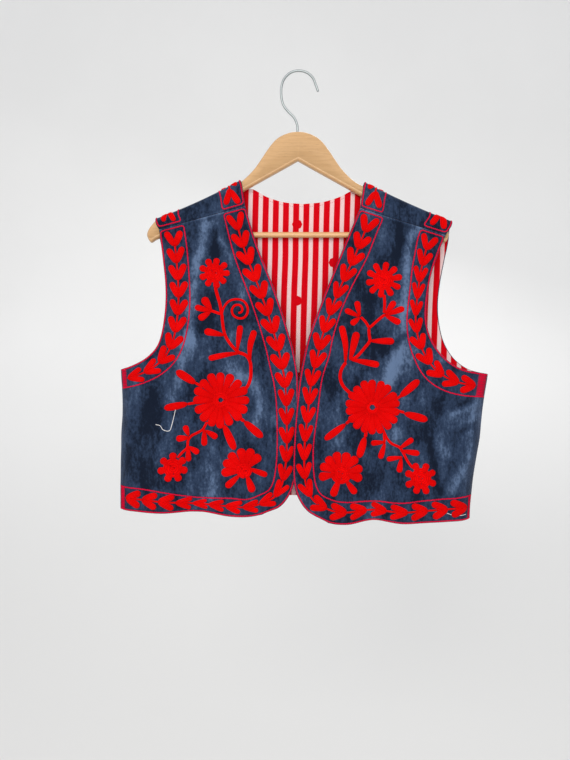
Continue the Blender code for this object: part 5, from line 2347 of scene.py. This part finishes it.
# width and amount of a streak, then x and z of its points: streaks where the pile lies another way, with painted
# highlights on the ridges of folds and painted shade in creases; the first streak of each front is a painted highlight
# along the seam in front of the shoulder
PILE_AND_FOLD_SHADING: dict[Panel, Rows] = {
    Panel.RIGHT_FRONT: (
        (1.3, 0.7, -76.5, -198.9, -200.5, -232.9),
        (9, 0.9, -131, -226, -134, -247, -145, -279, -151, -320, -154, -392),
        (10, 0.8, -154, -392, -160, -409, -165, -435, -179, -477),
        (7, 0.8, -110, -247, -98, -269, -89, -291, -79, -332), (11, 0.5, -100, -428, -86, -443),
        (9, 0.8, -69, -446, -54, -474, -63, -522), (12, 0.6, -125, -548, -128, -576, -122, -607),
        (8, 0.45, -230, -456, -238, -491, -241, -534), (8, -0.6, -120, -236, -121, -279),
        (9, -0.5, -123, -329, -134, -378), (16, -0.45, -210, -470, -210, -534, -210, -590),
        (8, -0.3, -104, -534, -108, -555), (12, -0.3, -174, -576, -146, -604), (8, 0.4, -47, -562, -57, -590),
        (8, 0.3, -94, -363, -86, -399),
    ),
    Panel.LEFT_FRONT: (
        (1.3, 0.7, 89.5, -201.9, 212.5, -240.9),
        (7, 0.9, 176, -230, 164, -240, 158, -262, 155, -291, 150, -349),
        (9, 0.9, 150, -349, 148, -378, 145, -406, 127, -456), (6, -0.9, 152, -385, 138, -395, 123, -409),
        (8, 0.3, 125, -223, 122, -240), (12, -0.5, 146, -226, 139, -262, 120, -276),
        (9, 0.6, 133, -392, 130, -423, 124, -456),
        (10, 0.5, 150, -477, 141, -511, 139, -529), (8, 0.9, 242, -562, 228, -583, 217, -604),
        (6, 0.6, 254, -477, 245, -519, 242, -555), (6, -0.8, 186, -534, 194, -576, 200, -604),
        (9, -0.7, 147, -247, 140, -279), (8, -0.6, 103, -334, 105, -366), (10, 0.35, 59, -477, 53, -534),
        (10, 0.2, 45, -576, 33, -618), (5, -0.5, 222, -488, 243, -477), (4, 0.5, 217, -497, 243, -488),
        (5, -0.5, 226, -522, 248, -514), (10, -0.4, 201, -477, 186, -519), (8, -0.3, 165, -534, 172, -562),
        (7, 0.35, 207, -555, 200, -590),
    ),
    Panel.BACK: (
        (11, 0.7, -120, -230, -146, -360, -176, -520), (13, 0.55, -40, -300, -30, -470, -44, -610),
        (12, -0.55, 40, -250, 52, -420, 38, -600), (11, 0.75, 118, -230, 160, -330, 176, -470, 168, -600),
        (10, 0.5, -210, -460, -226, -600), (14, -0.5, -84, -380, -96, -560), (13, 0.45, 112, -420, 104, -600),
        (10, -0.45, 214, -470, 226, -610),
    ),
}
PATTERNS: dict[Panel, Pattern] = {
    Panel.RIGHT_FRONT: Pattern(
        edge_widths=(
            (0, 34), (44, 32.4), (66, 30), (91, 24.5), (110, 20.8), (139, 23), (158, 26), (186, 24.8), (205, 26.5),
            (245, 28), (321, 30.4), (391, 31.6), (441, 37), (493, 37), (616, 36), (677, 33),
        ),
        armhole_widths=(
            (0, 27.5), (25, 30), (60, 34), (95, 35.5), (150, 35.3), (205, 36.5), (245, 36),
        ),
        edge_counts=(9, 16),
        armhole_count=10,
        corner_run=236.0,
        whipping=(8.0, 9.0),
        fullness=(0.95, 0.93),
        stems=(
            (5, -119, -316, -116, -327, -112, -340, -109.5, -353),
            (4.6, -109, -355, -107.5, -370, -104.2, -384.8, -97.6, -396.2, -89, -406, -80, -412.5),
            (4.2, -125.5, -349.5, -117, -352.5, -110, -355),
            (3.5, -109.3, -356.8, -106.9, -346.9, -99.6, -337, -89, -333.6, -78.3, -336.1, -72.5, -344.4, -72.5,
             -353.5, -77.4, -360.1, -85.5, -360.9, -92.9, -356, -94.6, -348.5, -90.6, -342.7, -84, -341.9, -79.9,
             -346, -80.7, -351.8, -85.6, -353.5),
            (5, -83, -410, -73, -415, -68.2, -424, -67.3, -435, -67.8, -446, -72, -458, -78, -463),
            (3.8, -129, -508, -132, -513.5, -135.3, -519, -143, -523.5, -151.5, -528, -156, -534.6, -157.1, -544.3,
             -164, -551, -171, -559),
            (4, -135, -459, -146, -453), (4, -145, -481, -157, -483), (5, -84, -502, -76, -507.5),
        ),
        leaves=(
            (-124, -350, -136, -331, 11.5), (-125, -350.5, -147.5, -344.8, 9), (-125, -351, -142, -362.5, 10),
            (-105.5, -385.3, -134, -379, 10.5), (-87, -408, -82.3, -371, 8.8), (-69, -423, -62.3, -378, 9.5, 0.06),
            (-81, -410, -127.5, -418.5, 8.5, -0.02), (-133, -518, -133, -542, 9),
            (-132, -520, -114.5, -530.5, 9), (-155, -528, -160.7, -513, 9), (-154, -530, -172.7, -532, 9.5),
            (-156, -543, -155.4, -564, 8.5), (-156, -542.8, -140.5, -552, 9), (-83, -583, -102, -600, 10),
            (-73, -583, -64.3, -607.5, 11), (-73, -573, -44, -583.5, 8.5),
        ),
        spindles=(
            (-145, -454, -173, -436, 11.5), (-156, -482.5, -190, -489, 10.5), (-77, -507, -50.5, -530, 11),
            (-105.5, -512, -89.8, -547.5, 11),
        ),
        threads=(
            (-201.9, -511.9, -195.4, -513.5, -191.3, -519.2, -182.4, -520.8, -179.2, -513.5, -176, -500.6, -173.6,
             -489.2),
        ),
        flowers=(
            Flower("right_upper_flower", -120.3, -295.6, 22.5, 9, 9.5, 13.5, first=11.0),
            Flower("right_big_flower", -110.0, -477.2, 40.2, 16, 12.4, 11.0, 3.6, outline=Outline.PETAL),
            Flower("right_small_flower", -177.0, -572.8, 21.7, 7, 10.8, 13.0),
            Flower("right_corner_flower", -76.5, -577.0, 32.5, 6, 12.8, 10.5, 0.0, -96.0, 143.0, Outline.PETAL),
        ),
        seed=3,
    ),
    Panel.LEFT_FRONT: Pattern(
        edge_widths=(
            (0, 34.5), (50, 32.6), (90, 30.6), (118, 28.4), (142, 27.6), (165, 30.2), (190, 32.2), (240, 30),
            (292, 29.4), (337, 27.7), (386, 30.5), (419, 31), (449, 32), (474, 35),
            (509, 32.5), (546, 30.5), (584, 32), (630, 36.5), (675, 36),
        ),
        armhole_widths=(
            (0, 33.5), (30, 36), (67, 40), (93, 35), (116, 30.5), (142, 27), (175, 27), (200, 29.5), (219, 32),
            (240, 35.5), (258, 36),
        ),
        edge_counts=(8, 16),
        armhole_count=11,
        corner_run=250.0,
        whipping=(5.0, 16.0),
        fullness=(0.84, 0.93),
        stems=(
            (4.4, 123, -327, 123.5, -340, 122.5, -354), (4.2, 124, -355.5, 115.9, -361.7, 101, -375),
            (4.2, 89, -359, 96.2, -366.6, 101, -375),
            (4.6, 100.4, -375, 101, -386, 101.8, -393, 94, -403.5, 84.4, -414.5, 75, -421),
            (5, 67.9, -423.4, 61.5, -433.4, 59.3, -445.1, 63.2, -456.9, 71.7, -466, 76, -469),
            (3.8, 119.5, -518, 121.6, -523.6, 126.1, -532.6, 132.3, -538.9, 143.1, -544.3, 149, -554, 154, -563.5,
             161, -573),
            (4, 121, -524, 122, -537), (4, 137, -491.5, 150, -495), (4, 135, -478, 146, -471),
            (4.5, 74, -505, 67, -511), (5, 96, -521, 94.5, -530),
        ),
        leaves=(
            (124, -356, 138, -336.6, 9), (124, -356.5, 151, -346.5, 9), (124, -357, 145.3, -368, 9.5),
            (88, -358, 83.5, -336, 9), (88, -358.5, 66.5, -348.8, 8.5), (88, -359.5, 75, -370, 9),
            (102, -393.2, 136.5, -393.7, 10), (67, -424, 61.5, -371.5, 9.5, -0.05), (73.5, -421, 83.5, -380.5, 11),
            (74, -419.5, 114.8, -427.6, 9.5), (123.5, -536.5, 102.5, -538.3, 8),
            (122.5, -537.5, 115.5, -560.3, 8.5), (142, -546, 162, -531.8, 8), (143.5, -548.5, 170.8, -552.8, 8.5),
            (147, -557.5, 124.7, -560.8, 7.5), (145.3, -558.5, 141.9, -579.3, 8.5), (58.3, -587, 48, -613, 11),
            (66.5, -590, 81.2, -609.4, 10),
        ),
        spindles=(
            (143.5, -473, 171.3, -449, 11), (149.5, -496, 183, -505.5, 11), (67, -511, 37, -533, 10),
            (94.5, -529, 85, -559, 11),
        ),
        threads=((210.6, -637.9, 220.5, -641.4, 231, -642, 239.4, -641.2),),
        flowers=(
            Flower("left_upper_flower", 122.2, -305.6, 26.5, 10, 9.2, 14.5, first=10.0),
            Flower("left_big_flower", 104.7, -487.6, 39.4, 18, 11.4, 12.0, 4.0, outline=Outline.PETAL),
            Flower("left_small_flower", 173.1, -588.0, 23.8, 8, 10.0, 14.5, first=22.0),
            Flower("left_corner_flower", 60.2, -580.8, 32.0, 8, 13.0, 14.5, 0.0, -98.0, 201.0, Outline.PETAL),
        ),
        seed=5,
    ),
}


@dataclass
class Vest:
    """The whole vest: its cloth, its needlework and the hanger that it hangs on."""

    form: VestForm = field(default_factory=VestForm)
    hanger: Hanger = field(default_factory=Hanger)

    def build(self) -> None:
        """Builds every piece."""
        finishes = Finishes()
        back = Back(self.form, BACK_ROWS, PILE_AND_FOLD_SHADING[Panel.BACK])
        velvet, lining = back.build(finishes)
        needlework = BackEmbroidery(back)
        stitched = needlework.build(finishes) + [back.side_seam(side, finishes) for side in Side]
        stitching = needlework.top_stitching(finishes)
        report([velvet, lining, *stitched, stitching])
        self.declare(velvet, back.velvet.values(), stitched)
        self.declare(lining, back.lining.values(), [stitching])
        for panel in (Panel.RIGHT_FRONT, Panel.LEFT_FRONT):
            front = Front(panel, FRONT_ROWS[panel], PILE_AND_FOLD_SHADING[panel], self.form)
            cloth = front.build(finishes)
            stitched = PATTERNS[panel].build(front, finishes)
            report([cloth, *stitched])
            self.declare(cloth, [front.grid], stitched)
        report(self.hanger.build(finishes))

    def declare(self, cloth: Piece, grids: object, stitched: list[Piece]) -> None:
        """Works out the area of a sheet's grids laid flat; nothing is done with it.

        Args:
            cloth: The sheet; not used.
            grids: The grids of the sheet, laid out flat.
            stitched: The needlework on it.
        """
        grids = list(grids)
        area = sum(grid.area() for grid in grids) * MM * MM
        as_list(stitched)


def report(pieces: list[Piece]) -> None:
    """Reports finished pieces with their triangles."""
    for piece in pieces:
        LOG.info("%s: %d triangles", piece.name, sum(len(polygon.vertices) - 2 for polygon in piece.data.polygons))


def main() -> None:
    """Builds the vest, its hanger and the studio."""
    logging.basicConfig(level=logging.INFO, format="%(name)s: %(message)s")
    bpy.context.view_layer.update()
    Studio().build()
    Vest().build()


if __name__ == "__main__":
    main()
